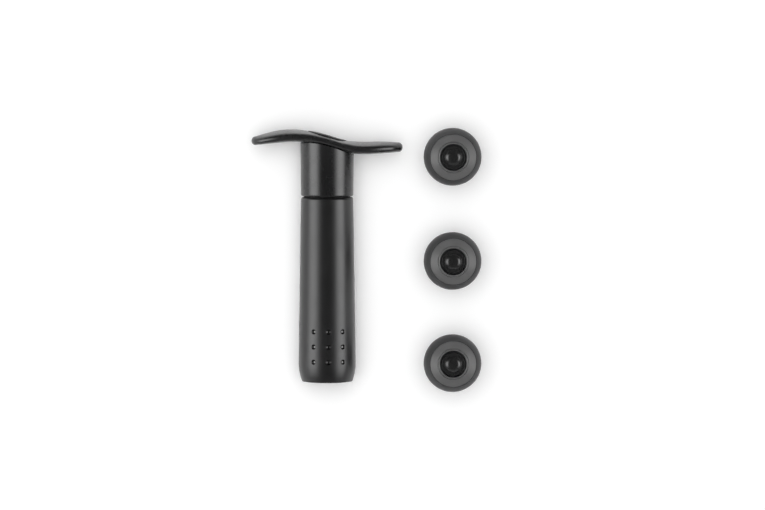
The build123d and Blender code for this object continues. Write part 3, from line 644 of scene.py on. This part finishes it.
def barrel_casing():
    """Casing with its dimples, as a closed shell."""
    rows_at = [DIMPLE_FIRST_ROW_AT + row * DIMPLE_ROW_PITCH for row in range(DIMPLE_ROWS)]
    half_angle = math.degrees(DIMPLE_WINDOW / CASING_WIDEST_R)
    columns = windowed(-HALF_TURN, DIMPLE_COLUMN_ANGLES, half_angle, HALF_TURN, BACK_STEPS)[:-1]
    angles = [math.radians(column) for column in columns]
    rounded_from = CASING_LENGTH - 2 * CASING_TOP_ROUND
    places = windowed(FOOT_FROM, rows_at, DIMPLE_WINDOW, rounded_from, WALL_STEPS)
    seat_r = COLLAR_FLANGE_R + PRESS_GAP
    ends = eased(
        [
            (casing_radius(rounded_from), rounded_from, 0),
            (CASING_TOP_R, CASING_LENGTH, CASING_TOP_ROUND),
            (seat_r, CASING_LENGTH, CASING_TOP_EASE),
            (seat_r, COLLAR_SEAT_AT, 0),
            (CASING_BORE_R, COLLAR_SEAT_AT, 0),
            (CASING_BORE_R, LIP_SETBACK, CASING_BORE_EASE),
            (LIP_R, LIP_SETBACK, LIP_ROUND),
            (casing_radius(FOOT_FROM), FOOT_FROM, 0),
        ]
    )
    outline = [(casing_radius(place), place) for place in places] + ends[1:-1]
    row_starts = [places.index(at - DIMPLE_WINDOW) for at in rows_at]
    column_starts = [columns.index(at - half_angle) for at in DIMPLE_COLUMN_ANGLES]

    def in_window(row, column):
        in_rows = any(start <= row < start + WINDOW_STEPS for start in row_starts)
        return in_rows and any(start <= column < start + WINDOW_STEPS for start in column_starts)

    bm = bmesh.new()
    rings = turned(bm, outline, along_pump, angles, in_window)
    for row, row_at in zip(row_starts, rows_at):
        for column, column_angle in zip(column_starts, DIMPLE_COLUMN_ANGLES):
            loop = window_loop(rings, row, row + WINDOW_STEPS, column, column + WINDOW_STEPS)
            cut_dimple(bm, loop, row_at, math.radians(column_angle))
    return finished_mesh("barrel_casing_shell", bm, "casing_black", "dimple_shade_black")


def cut_dimple(bm, loop, row_at, column_angle):
    """Fill a window of the casing with a dimple that is polished inside and darker there, as painted
    shade. Its angle is in radians.
    """

    def sunk(reach, turn):
        place = row_at + reach * math.sin(turn)
        angle = column_angle + reach * math.cos(turn) / CASING_WIDEST_R
        return along_pump(casing_radius(place) - dimple_depth(reach), angle, place)

    turns = []
    for vertex in loop:
        sideways = (math.atan2(vertex.co.x, vertex.co.z) - column_angle) * CASING_WIDEST_R
        turns.append(math.atan2(vertex.co.y / MM - row_at, sideways))
    reaches = spread(DIMPLE_WINDOW, DIMPLE_R, DIMPLE_RIM_STEPS)[1:]
    reaches += spread(DIMPLE_R, DIMPLE_FLOOR_R, DIMPLE_WALL_STEPS)[1:]
    reaches += spread(DIMPLE_FLOOR_R, 0, DIMPLE_FLOOR_STEPS)[1:-1]
    rings = [[sunk(reach, turn) for turn in turns] for reach in reaches]
    faces = patch(bm, loop, rings, sunk(0, 0))
    # Faces past the rim take the darker finish, painted shade inside the dimple
    for face in faces[len(turns) * DIMPLE_RIM_STEPS :]:
        face.material_index = 1


# Handle
def smooth_line(places, values):
    """Smooth curve through the values, as a function of place."""
    gaps = np.diff(places)
    slopes = np.diff(values) / gaps
    count = len(places)
    system = np.eye(count)
    target = np.zeros(count)
    for index in range(1, count - 1):
        system[index, index - 1 : index + 2] = (
            gaps[index - 1],
            2 * (gaps[index - 1] + gaps[index]),
            gaps[index],
        )
        target[index] = 6 * (slopes[index] - slopes[index - 1])
    bends = np.linalg.solve(system, target)

    def height(place):
        place = min(max(place, places[0]), places[-1])
        index = min(int(np.searchsorted(places, place, side="right")) - 1, count - 2)
        gap = gaps[index]
        before = (places[index + 1] - place) / gap
        after = (place - places[index]) / gap
        return (
            before * values[index]
            + after * values[index + 1]
            + ((before**3 - before) * bends[index] + (after**3 - after) * bends[index + 1]) * gap**2 / 6
        )

    return height


HALF_SPAN = HANDLE_SPAN / 2
WAVE_PLACES = [place * HALF_SPAN for place, _, _ in HANDLE_WAVE_shares]
crown_line = smooth_line(
    WAVE_PLACES,
    [HANDLE_TROUGH_CROWN_AT + share * HANDLE_WAVE_RISE for _, share, _ in HANDLE_WAVE_shares],
)
underside_line = smooth_line(
    WAVE_PLACES,
    [
        HANDLE_TROUGH_CROWN_AT - HANDLE_TROUGH_THICKNESS + share * HANDLE_WAVE_RISE
        for _, _, share in HANDLE_WAVE_shares
    ],
)


class Slice:
    """Section of the handle at a place across it."""

    def __init__(self, across):
        share = min(abs(across) / HALF_SPAN, 1.0)
        half_depth = AXIS_HEIGHT * math.sqrt(max(0.0, 1 - share**HANDLE_PLAN_POWER))
        into_tip = max(0.0, abs(across) - (HALF_SPAN - HANDLE_TIP_R))
        thinned = math.sqrt(max(0.0, 1 - (into_tip / HANDLE_TIP_R) ** 2))
        crown, underside = crown_line(across), underside_line(across)
        centre = (crown + underside) / 2
        half = (crown - underside) / 2 * thinned
        self.crown, self.underside = centre + half, centre - half
        self.rim_r = HANDLE_RIM_share * 2 * half
        spare = 2 * half - 2 * self.rim_r
        nearness = (HANDLE_MIDDLE_FROM - abs(across)) / (HANDLE_MIDDLE_FROM - HANDLE_MIDDLE_TO)
        lift_share = HANDLE_MIDDLE_LIFT_share * eased_step(nearness)
        self.middle = self.crown - (HANDLE_CROWN_share - lift_share) * spare - self.rim_r
        self.inner = max(half_depth - self.rim_r, ON_AXIS)
        self.crown_turn = 2 * math.atan2(self.crown - self.middle - self.rim_r, self.inner)
        self.belly_turn = 2 * math.atan2(self.middle - self.rim_r - self.underside, self.inner)
        self.top_reach = self.inner + self.rim_r * math.sin(self.crown_turn)
        self.belly_reach = self.inner + self.rim_r * math.sin(self.belly_turn)

    def top(self, depth):
        """Height of the crown's face at a depth."""
        sag = self.crown - self.middle - self.rim_r * math.cos(self.crown_turn)
        return self.crown - arc_drop(depth, self.top_reach, sag)

    def belly(self, depth):
        """Height of the underside at a depth."""
        sag = self.middle - self.rim_r * math.cos(self.belly_turn) - self.underside
        return self.underside + arc_drop(depth, self.belly_reach, sag)

    def rim(self, turn):
        """Depth and height on the rim at a turn down from straight up."""
        return self.inner + self.rim_r * math.sin(turn), self.middle + self.rim_r * math.cos(turn)


def handle_section(place, top_shares):
    """Points round the handle's section at a place across it, as (depth, height)."""
    cut = Slice(place)
    points = []
    for share in top_shares:
        depth = share * cut.top_reach
        points.append((depth, cut.top(depth)))
    turns = spread(cut.crown_turn, math.pi - cut.belly_turn, RIM_STEPS)[1:-1]
    points += [cut.rim(turn) for turn in turns]
    for share in spread(1.0, -1.0, BELLY_STEPS):
        depth = share * cut.belly_reach
        points.append((depth, cut.belly(depth)))
    points += [(-depth, height) for depth, height in map(cut.rim, reversed(turns))]
    return points


def handle_grip():
    """Wave handle as a closed mesh, with the cap's pocket in its crown and its spigot below."""
    middle_places = spread(-CAP_WINDOW, CAP_WINDOW, CAP_WINDOW_STEPS)
    right = [
        CAP_WINDOW + (HALF_SPAN - CAP_WINDOW) * math.sin(math.pi / 2 * step / HANDLE_END_STEPS)
        for step in range(1, HANDLE_END_STEPS)
    ]
    places = [-place for place in reversed(right)] + middle_places + right
    top_shares = [-1.0, -CROWN_EDGE_share]
    top_shares += spread(-CROWN_WINDOW_share, CROWN_WINDOW_share, CAP_WINDOW_STEPS)
    top_shares += [CROWN_EDGE_share, 1.0]
    bm = bmesh.new()
    rows = []
    for place in places:
        section = handle_section(place, top_shares)
        rows.append([bm.verts.new(Vector((place, height, depth)) * MM) for depth, height in section])
    count = len(rows[0])
    low_row = places.index(-CAP_WINDOW)
    high_row = low_row + CAP_WINDOW_STEPS
    low_column = top_shares.index(-CROWN_WINDOW_share)
    high_column = low_column + CAP_WINDOW_STEPS
    for index, (low, high) in enumerate(zip(rows, rows[1:])):
        for column in range(count):
            if low_row <= index < high_row and low_column <= column < high_column:
                continue
            after = (column + 1) % count
            bm.faces.new((low[column], low[after], high[after], high[column]))
    for row, place in ((rows[0], -HALF_SPAN), (rows[-1], HALF_SPAN)):
        end = Slice(place)
        patch(bm, row, [], Vector((place, (end.crown + end.underside) / 2, 0)) * MM)
    cut_pocket(bm, window_loop(rows, low_row, high_row, low_column, high_column))
    handle_spigot(bm)
    return finished_mesh("handle_grip_body", bm, "grip_black")


def crown_point(reach, turn, rise, depth_share=1.0):
    """Point over the crown, at a reach and turn from the pump's axis.

    The crown's height is taken at a share of the depth. Below one it is flatter.
    """
    across, depth = reach * math.cos(turn), reach * math.sin(turn)
    return Vector((across, Slice(across).top(depth * depth_share) + rise, depth)) * MM


def cut_pocket(bm, loop):
    """Fill a window of the crown with the pocket for the cap."""
    turns = [math.atan2(vertex.co.z, vertex.co.x) for vertex in loop]
    pocket_r = CAP_R + PRESS_GAP
    # The first rings would lie too near the window's edge
    rim = spread(CAP_WINDOW, pocket_r + POCKET_EASE, POCKET_RIM_STEPS)[2:-1]
    steps = [(reach, 0) for reach in rim]
    steps += [(pocket_r + out, down) for out, down in rounded_edge(POCKET_EASE)]
    steps += [(reach, CAP_SEAT) for reach in spread(pocket_r, 0, POCKET_FLOOR_STEPS)[:-1]]
    rings = [[crown_point(reach, turn, -down) for turn in turns] for reach, down in steps]
    patch(bm, loop, rings, crown_point(0, 0, -CAP_SEAT))


def handle_spigot(bm):
    """Spigot that goes into the sleeve, with the keyed socket for the rod in its end."""
    socket_r = ROD_R + PRESS_GAP

    def spigot_point(radius, angle, place):
        """The socket has the rod's two flats, and the top ends inside the handle."""
        if radius <= socket_r:
            flat_r = (ROD_FLAT_R + PRESS_GAP) / max(abs(math.sin(angle)), ON_AXIS)
            radius = min(radius, flat_r)
        if place > ROD_TOP_AT:
            across, depth = radius * math.sin(angle), radius * math.cos(angle)
            place = Slice(across).belly(depth) + SLEEVE_SINK
        return along_pump(radius, angle, place)

    outline = eased(
        [
            (0, HANDLE_TROUGH_CROWN_AT, 0),
            (0, ROD_TOP_AT, 0),
            (socket_r, ROD_TOP_AT, 0),
            (socket_r, SPIGOT_BOTTOM_AT, 0),
            (SPIGOT_R, SPIGOT_BOTTOM_AT, SPIGOT_EASE),
            (SPIGOT_R, HANDLE_TROUGH_CROWN_AT, 0),
        ]
    )
    turned(bm, outline, spigot_point, even_angles(TURN_STEPS))


def handle_cap():
    """Cap that follows the handle's wave, with an eased edge."""
    turns = even_angles(TURN_STEPS)
    floor = PRESS_GAP - CAP_SEAT
    face = [(reach, CAP_PROUD) for reach in spread(0, CAP_R - 2 * CAP_EASE, CAP_FACE_STEPS)[1:]]
    face += [(CAP_R - inside, CAP_PROUD - down) for inside, down in rounded_edge(CAP_EASE)]
    rings = [[crown_point(reach, turn, rise, CAP_CROWN_share) for turn in turns] for reach, rise in face]
    for reach in spread(CAP_R, 0, CAP_FLOOR_STEPS)[:-1]:
        rings.append([crown_point(reach, turn, floor) for turn in turns])
    bm = bmesh.new()
    first = [bm.verts.new(point) for point in rings[0]]
    patch(bm, first, [], crown_point(0, 0, CAP_PROUD))
    patch(bm, first, rings[1:], crown_point(0, 0, floor))
    return finished_mesh("handle_cap_disc", bm, "cap_black")


def neck_sleeve():
    """Flared skirt with inner ribs, ending at a fine seam under the handle."""
    flare = (SLEEVE_TOP_R - SLEEVE_BOTTOM_R) / (SLEEVE_CREST_AT - SLEEVE_BOTTOM_AT)
    top_r = SLEEVE_BOTTOM_R + flare * (HANDLE_TROUGH_CROWN_AT - SLEEVE_BOTTOM_AT)
    middle_at = (HANDLE_TROUGH_CROWN_AT + SLEEVE_BOTTOM_AT) / 2

    def sleeve_point(radius, angle, place):
        """Places are stretched so that the wall's top follows the handle's underside."""
        share = (place - SLEEVE_BOTTOM_AT) / (HANDLE_TROUGH_CROWN_AT - SLEEVE_BOTTOM_AT)
        across, depth = radius * math.sin(angle), radius * math.cos(angle)
        top_at = Slice(across).belly(depth) - SLEEVE_SEAM
        return along_pump(radius, angle, SLEEVE_BOTTOM_AT + share * (top_at - SLEEVE_BOTTOM_AT))

    outline = eased(
        [
            (top_r, HANDLE_TROUGH_CROWN_AT, 0),
            ((SLEEVE_BOTTOM_R + top_r) / 2, middle_at, 0),
            (SLEEVE_BOTTOM_R, SLEEVE_BOTTOM_AT, SLEEVE_EDGE_ROUND),
            (SLEEVE_BOTTOM_R - SLEEVE_WALL, SLEEVE_BOTTOM_AT, SLEEVE_INNER_EASE),
            (top_r - SLEEVE_WALL, HANDLE_TROUGH_CROWN_AT, 0),
        ]
    )
    bm = bmesh.new()
    turned(bm, outline, sleeve_point, even_angles(TURN_STEPS))
    for angle in RIB_ANGLES:
        sleeve_rib(bm, math.radians(angle))
    return finished_mesh("neck_sleeve_skirt", bm, "sleeve_black")


def sleeve_rib(bm, angle):
    """Rib from the wall to the spigot, with a rounded lower edge."""
    half = RIB_THICKNESS / 2
    low = SPIGOT_BOTTOM_AT + RIB_EASE
    section = arc((half - RIB_EASE, low), RIB_EASE, 0, -QUARTER_TURN, CORNER_STEPS)
    section += arc((RIB_EASE - half, low), RIB_EASE, -QUARTER_TURN, -HALF_TURN, CORNER_STEPS)
    outward = Vector((math.sin(angle), 0, math.cos(angle)))
    sideways = Vector((math.cos(angle), 0, -math.sin(angle)))
    ends = []
    for reach in (SPIGOT_R + PRESS_GAP, SLEEVE_BOTTOM_R - SLEEVE_WALL / 2):
        corners = [(side, place) for side, place, _ in section]
        for side in (-half, half):
            foot = outward * reach + sideways * side
            corners.append((side, Slice(foot.x).belly(foot.z) + SLEEVE_SINK))
        points = [outward * reach + sideways * side + Vector((0, place, 0)) for side, place in corners]
        ends.append([bm.verts.new(point * MM) for point in points])
    near, far = ends
    for index in range(len(near)):
        after = (index + 1) % len(near)
        bm.faces.new((near[index], near[after], far[after], far[index]))
    bm.faces.new(near)
    bm.faces.new(far)


# Stoppers
def stopper_plug():
    """Finned hollow plug under a broad flange with a well in its top."""
    rim = FLANGE_R - FLANGE_UNDER_R
    side_high = STOPPER_PLUG_LENGTH + rim + FLANGE_STRAIGHT
    outline = [(STOPPER_BORE_R, 0, WEB_EASE), (STOPPER_FOOT_R, 0, STOPPER_FOOT_EASE)]
    for fin in range(STOPPER_FIN_COUNT):
        fin_at = STOPPER_FIN_FIRST_AT + fin * STOPPER_FIN_PITCH
        outline += [
            (STOPPER_NECK_R, fin_at, STOPPER_FIN_EASE),
            (STOPPER_FIN_R, fin_at + STOPPER_FIN_ROOT - STOPPER_FIN_TIP, STOPPER_FIN_EASE),
            (STOPPER_FIN_R, fin_at + STOPPER_FIN_ROOT, STOPPER_FIN_EASE),
            (STOPPER_NECK_R, fin_at + STOPPER_FIN_ROOT, STOPPER_FIN_EASE),
        ]
    outline += [
        (STOPPER_NECK_R, STOPPER_PLUG_LENGTH, STOPPER_NECK_EASE),
        (FLANGE_R, STOPPER_PLUG_LENGTH, rim),
    ]
    # The shoulder is one arc from the upright side to its inner edge
    inward, up = FLANGE_R - SHOULDER_R, SHOULDER_TOP - side_high
    shoulder_r = (inward**2 + up**2) / (2 * inward)
    shoulder_turn = math.degrees(math.asin(up / shoulder_r))
    outline += arc((FLANGE_R - shoulder_r, side_high), shoulder_r, 0, shoulder_turn, ARC_STEPS)
    seat_r = FACE_RING_R + PRESS_GAP
    outline += [
        (seat_r, SHOULDER_TOP, SHOULDER_EASE),
        (seat_r, FACE_RING_TOP - FACE_RING_THICKNESS, 0),
        (WELL_R, FACE_RING_TOP - FACE_RING_THICKNESS, 0),
        (WELL_R, WEB_TOP, WEB_EASE),
        (WEB_HOLE_R, WEB_TOP, WEB_EASE),
        (WEB_HOLE_R, WEB_TOP - WEB_THICKNESS, WEB_EASE),
        (STOPPER_BORE_R, WEB_TOP - WEB_THICKNESS, STOPPER_NECK_EASE),
    ]
    bm = bmesh.new()
    turned(bm, eased(outline), upright, even_angles(TURN_STEPS))
    return finished_mesh("stopper_plug_body", bm, "stopper_rubber")


def stopper_face_ring():
    """Ring let into the stopper's top, with a fine groove round its opening."""
    bottom = FACE_RING_TOP - FACE_RING_THICKNESS
    half = FACE_RING_GROOVE_WIDTH / 2
    outline = [
        (WELL_R, bottom, FACE_RING_EASE),
        (FACE_RING_R, bottom, FACE_RING_EASE),
        (FACE_RING_R, FACE_RING_TOP - FACE_RING_FALL, FACE_RING_EASE),
        (FACE_RING_GROOVE_R + half, FACE_RING_TOP, FACE_RING_GROOVE_EASE),
        (FACE_RING_GROOVE_R, FACE_RING_TOP - FACE_RING_GROOVE_DEPTH, FACE_RING_GROOVE_EASE),
        (FACE_RING_GROOVE_R - half, FACE_RING_TOP, FACE_RING_GROOVE_EASE),
        (WELL_R, FACE_RING_TOP, FACE_RING_WELL_EASE),
    ]
    bm = bmesh.new()
    turned(bm, eased(outline), upright, even_angles(TURN_STEPS))
    # The wall of the well takes the dark dome rubber finish, as painted shade down the well
    wall_r = (WELL_R + FACE_RING_WELL_EASE / 2) * MM
    for face in bm.faces:
        face.material_index = int(face.calc_center_median().xy.length < wall_r)
    return finished_mesh("stopper_face_ring_body", bm, "ring_grey", "dome_rubber")


def stopper_valve():
    """Dome with a raised boss, a neck and a bulb."""
    boss_centre = (BOSS_TOP_R, DOME_TOP - BOSS_ROUND)
    boss = arc(boss_centre, BOSS_ROUND, QUARTER_TURN, QUARTER_TURN - BOSS_SLOPE, ARC_STEPS)
    foot_r = boss[-1][0] + (boss[-1][1] - BRIM_TOP) / math.tan(math.radians(BOSS_SLOPE))
    bottom = DOME_TOP - DOME_DEPTH
    outline = [(0, DOME_TOP, 0)] + boss
    outline += [
        (foot_r, BRIM_TOP, BOSS_FOOT_EASE),
        (DOME_R, BRIM_TOP, BRIM_EASE),
        (DOME_R - DOME_TAPER, bottom, DOME_EASE),
        (VALVE_NECK_R, bottom, DOME_EASE),
        (VALVE_NECK_R, WEB_TOP + RUN_GAP, WEB_EASE),
        (STOPPER_STEM_R, WEB_TOP + RUN_GAP, 0),
        (STOPPER_STEM_R, BULB_TOP, 0),
        (BULB_R, BULB_TOP, BULB_EASE),
        (BULB_R, BULB_TOP - BULB_LENGTH / 2, BULB_EASE),
        (STOPPER_STEM_R, BULB_TOP - BULB_LENGTH, WEB_EASE),
        (0, BULB_TOP - BULB_LENGTH, 0),
    ]
    bm = bmesh.new()
    turned(bm, eased(outline), upright, even_angles(TURN_STEPS))
    return finished_mesh("stopper_valve_body", bm, "dome_rubber")


piece("barrel_shell", barrel_casing(), PUMP_ORIGIN, "barrel", "casing_black", "barrel_casing")
piece("grip", handle_grip(), PUMP_ORIGIN, "plunger", "grip_black", "handle_grip")
piece("cap", handle_cap(), PUMP_ORIGIN, "plunger", "cap_black", "handle_cap")
piece("sleeve", neck_sleeve(), PUMP_ORIGIN, "plunger", "sleeve_black", "neck_sleeve")

plug_mesh, ring_mesh, valve_mesh = stopper_plug(), stopper_face_ring(), stopper_valve()
for stopper in ("stopper_1", "stopper_2", "stopper_3"):
    low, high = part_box(f"{stopper}_plug")
    foot = Vector(((low.x + high.x) / 2, (low.y + high.y) / 2, 0))
    piece(f"{stopper}_body", plug_mesh, foot, stopper, "stopper_rubber", f"{stopper}_plug")
    piece(f"{stopper}_ring", ring_mesh, foot, stopper, "ring_grey", f"{stopper}_face_ring")
    piece(f"{stopper}_dome", valve_mesh, foot, f"{stopper}_valve", "dome_rubber", f"{stopper}_valve")

# Nodes that keep their own mesh take the record's slot as their finish
for entry in frame["record"]["subparts"]:
    shown = frame["nodes"][entry["node"]]
    if not shown.hide_render:
        shown.data.materials.clear()
        shown.data.materials.append(FINISH[entry["material_slot"]])


# Camera, floor and light
def leaning(across, along):
    """Direction that leans off the vertical by an angle across the pump and one along it."""
    return Vector((math.tan(math.radians(across)), math.tan(math.radians(along)), 1)).normalized()


def place_camera():
    """Camera almost straight above, at the photograph's framing."""
    middle = ((PHOTO_MIDDLE_COLUMN - PUMP_AXIS_COLUMN) * MM_PER_PIXEL, VIEW_CENTRE_FROM_MOUTH, 0)
    back = leaning(-CAMERA_LEAN_FROM_STOPPERS, CAMERA_LEAN_TO_HANDLE)
    right = Vector((0, 1, 0)).cross(back).normalized()
    camera_data = bpy.data.cameras.new("camera")
    camera_data.sensor_width = SENSOR_WIDTH
    camera_data.lens = SENSOR_WIDTH * CAMERA_DISTANCE / (PHOTO_WIDTH * MM_PER_PIXEL)
    camera_data.clip_start = CAMERA_NEAREST * MM
    camera_data.clip_end = CAMERA_FARTHEST * MM
    camera = bpy.data.objects.new("camera", camera_data)
    camera.matrix_world = Matrix((right, back.cross(right), back)).transposed().to_4x4()
    camera.location = PUMP_ORIGIN + Vector(middle) * MM + back * CAMERA_DISTANCE * MM
    bpy.context.scene.collection.objects.link(camera)
    bpy.context.scene.camera = camera


def lay_floor():
    """White floor that takes the shadows, with a faint glow of its own."""
    bm = bmesh.new()
    corners = ((-1, -1), (1, -1), (1, 1), (-1, 1))
    bm.faces.new([bm.verts.new(Vector((x, y, 0)) * FLOOR_HALF * MM) for x, y in corners])
    floor_mesh = bpy.data.meshes.new("floor")
    bm.to_mesh(floor_mesh)
    bm.free()
    floor = bpy.data.objects.new("floor", floor_mesh)
    bpy.context.scene.collection.objects.link(floor)
    floor_material = bpy.data.materials.new("floor_white")
    tree = new_tree(floor_material)
    rays = add_node(tree, "ShaderNodeLightPath").outputs
    kinds = (rays[f"Is {kind} Ray"] for kind in ("Camera", "Glossy", "Transmission"))
    seen = chained(tree, "ADD", *kinds)
    matte = add_node(tree, "ShaderNodeBsdfDiffuse", Color=FLOOR_COLOUR).outputs[0]
    strength = math_node(tree, "MULTIPLY", seen, FLOOR_GLOW)
    glow = add_node(tree, "ShaderNodeEmission", Strength=strength).outputs[0]
    both = add_node(tree, "ShaderNodeAddShader", i0=matte, i1=glow)
    show(tree, "ShaderNodeOutputMaterial", both)
    floor_mesh.materials.append(floor_material)


def strip_light(tree, parts, side, level, inner_edge, outer_edge):
    """Light of a strip at a side. Each edge is a pair of angles off the vertical."""
    sideways = math_node(tree, "MULTIPLY", parts["X"], side)
    off_vertical = math_node(tree, "ARCTAN2", sideways, parts["Z"])
    rising = ranged(tree, off_vertical, *map(math.radians, inner_edge), smooth=True)
    falling = ranged(tree, off_vertical, *map(math.radians, outer_edge), 1.0, 0.0, smooth=True)
    return chained(tree, "MULTIPLY", rising, falling, level)


def gloss_light(tree, parts):
    """What gloss shows: a long strip at each side, a faint overhead and a light past the mouth."""
    left = (-1.0, STRIP_LEFT_LEVEL, STRIP_LEFT_INNER_EDGE, STRIP_LEFT_OUTER_EDGE)
    right = (1.0, STRIP_RIGHT_LEVEL, STRIP_RIGHT_INNER_EDGE, STRIP_RIGHT_OUTER_EDGE)
    strips = math_node(tree, "ADD", strip_light(tree, parts, *left), strip_light(tree, parts, *right))
    mouth_end = ranged(tree, parts["Y"], *STRIP_MOUTH_END, smooth=True)
    handle_end = ranged(tree, parts["Y"], *STRIP_HANDLE_END, 1.0, 0.0, smooth=True)
    strips = chained(tree, "MULTIPLY", strips, mouth_end, handle_end)
    from_mouth = ranged(tree, parts["Y"], *MOUTH_END_RISE, 0.0, MOUTH_END_LEVEL, smooth=True)
    return chained(tree, "ADD", strips, OVERHEAD_LEVEL, from_mouth)


def ambient_light(tree, direction):
    """Soft light from nearly straight above, raised so that a level floor gets the ambient level."""
    above = leaning(-AMBIENT_LEAN_LEFT, AMBIENT_LEAN_TO_HANDLE)
    dot = add_node(tree, "ShaderNodeVectorMath", {"operation": "DOT_PRODUCT"}, i0=direction, i1=above)
    towards = math_node(tree, "MAXIMUM", dot.outputs["Value"])
    narrow = math_node(tree, "POWER", towards, AMBIENT_POWER)
    high_level = AMBIENT_LEVEL * (1 - AMBIENT_LOW_share) * (AMBIENT_POWER + 2) / 2
    high = math_node(tree, "MULTIPLY", narrow, high_level)
    return math_node(tree, "ADD", high, AMBIENT_LEVEL * AMBIENT_LOW_share)


def light_studio():
    """World that shows strips to gloss, soft light to the rest and white to the camera."""
    world = bpy.data.worlds.new("studio")
    world.cycles.sampling_method = "NONE"
    bpy.context.scene.world = world
    tree = new_tree(world)
    rays = add_node(tree, "ShaderNodeLightPath").outputs
    direction = add_node(tree, "ShaderNodeTexCoord").outputs["Generated"]
    parts = add_node(tree, "ShaderNodeSeparateXYZ", Vector=direction).outputs
    gloss = math_node(tree, "MULTIPLY", rays["Is Glossy Ray"], gloss_light(tree, parts))
    ambient = math_node(tree, "MULTIPLY", rays["Is Diffuse Ray"], ambient_light(tree, direction))
    strength = chained(tree, "ADD", gloss, ambient, rays["Is Camera Ray"])
    background = add_node(tree, "ShaderNodeBackground", Color=WHITE, Strength=strength)
    show(tree, "ShaderNodeOutputWorld", background)


place_camera()
lay_floor()
light_studio()
bpy.context.scene.view_settings.view_transform = "Standard"
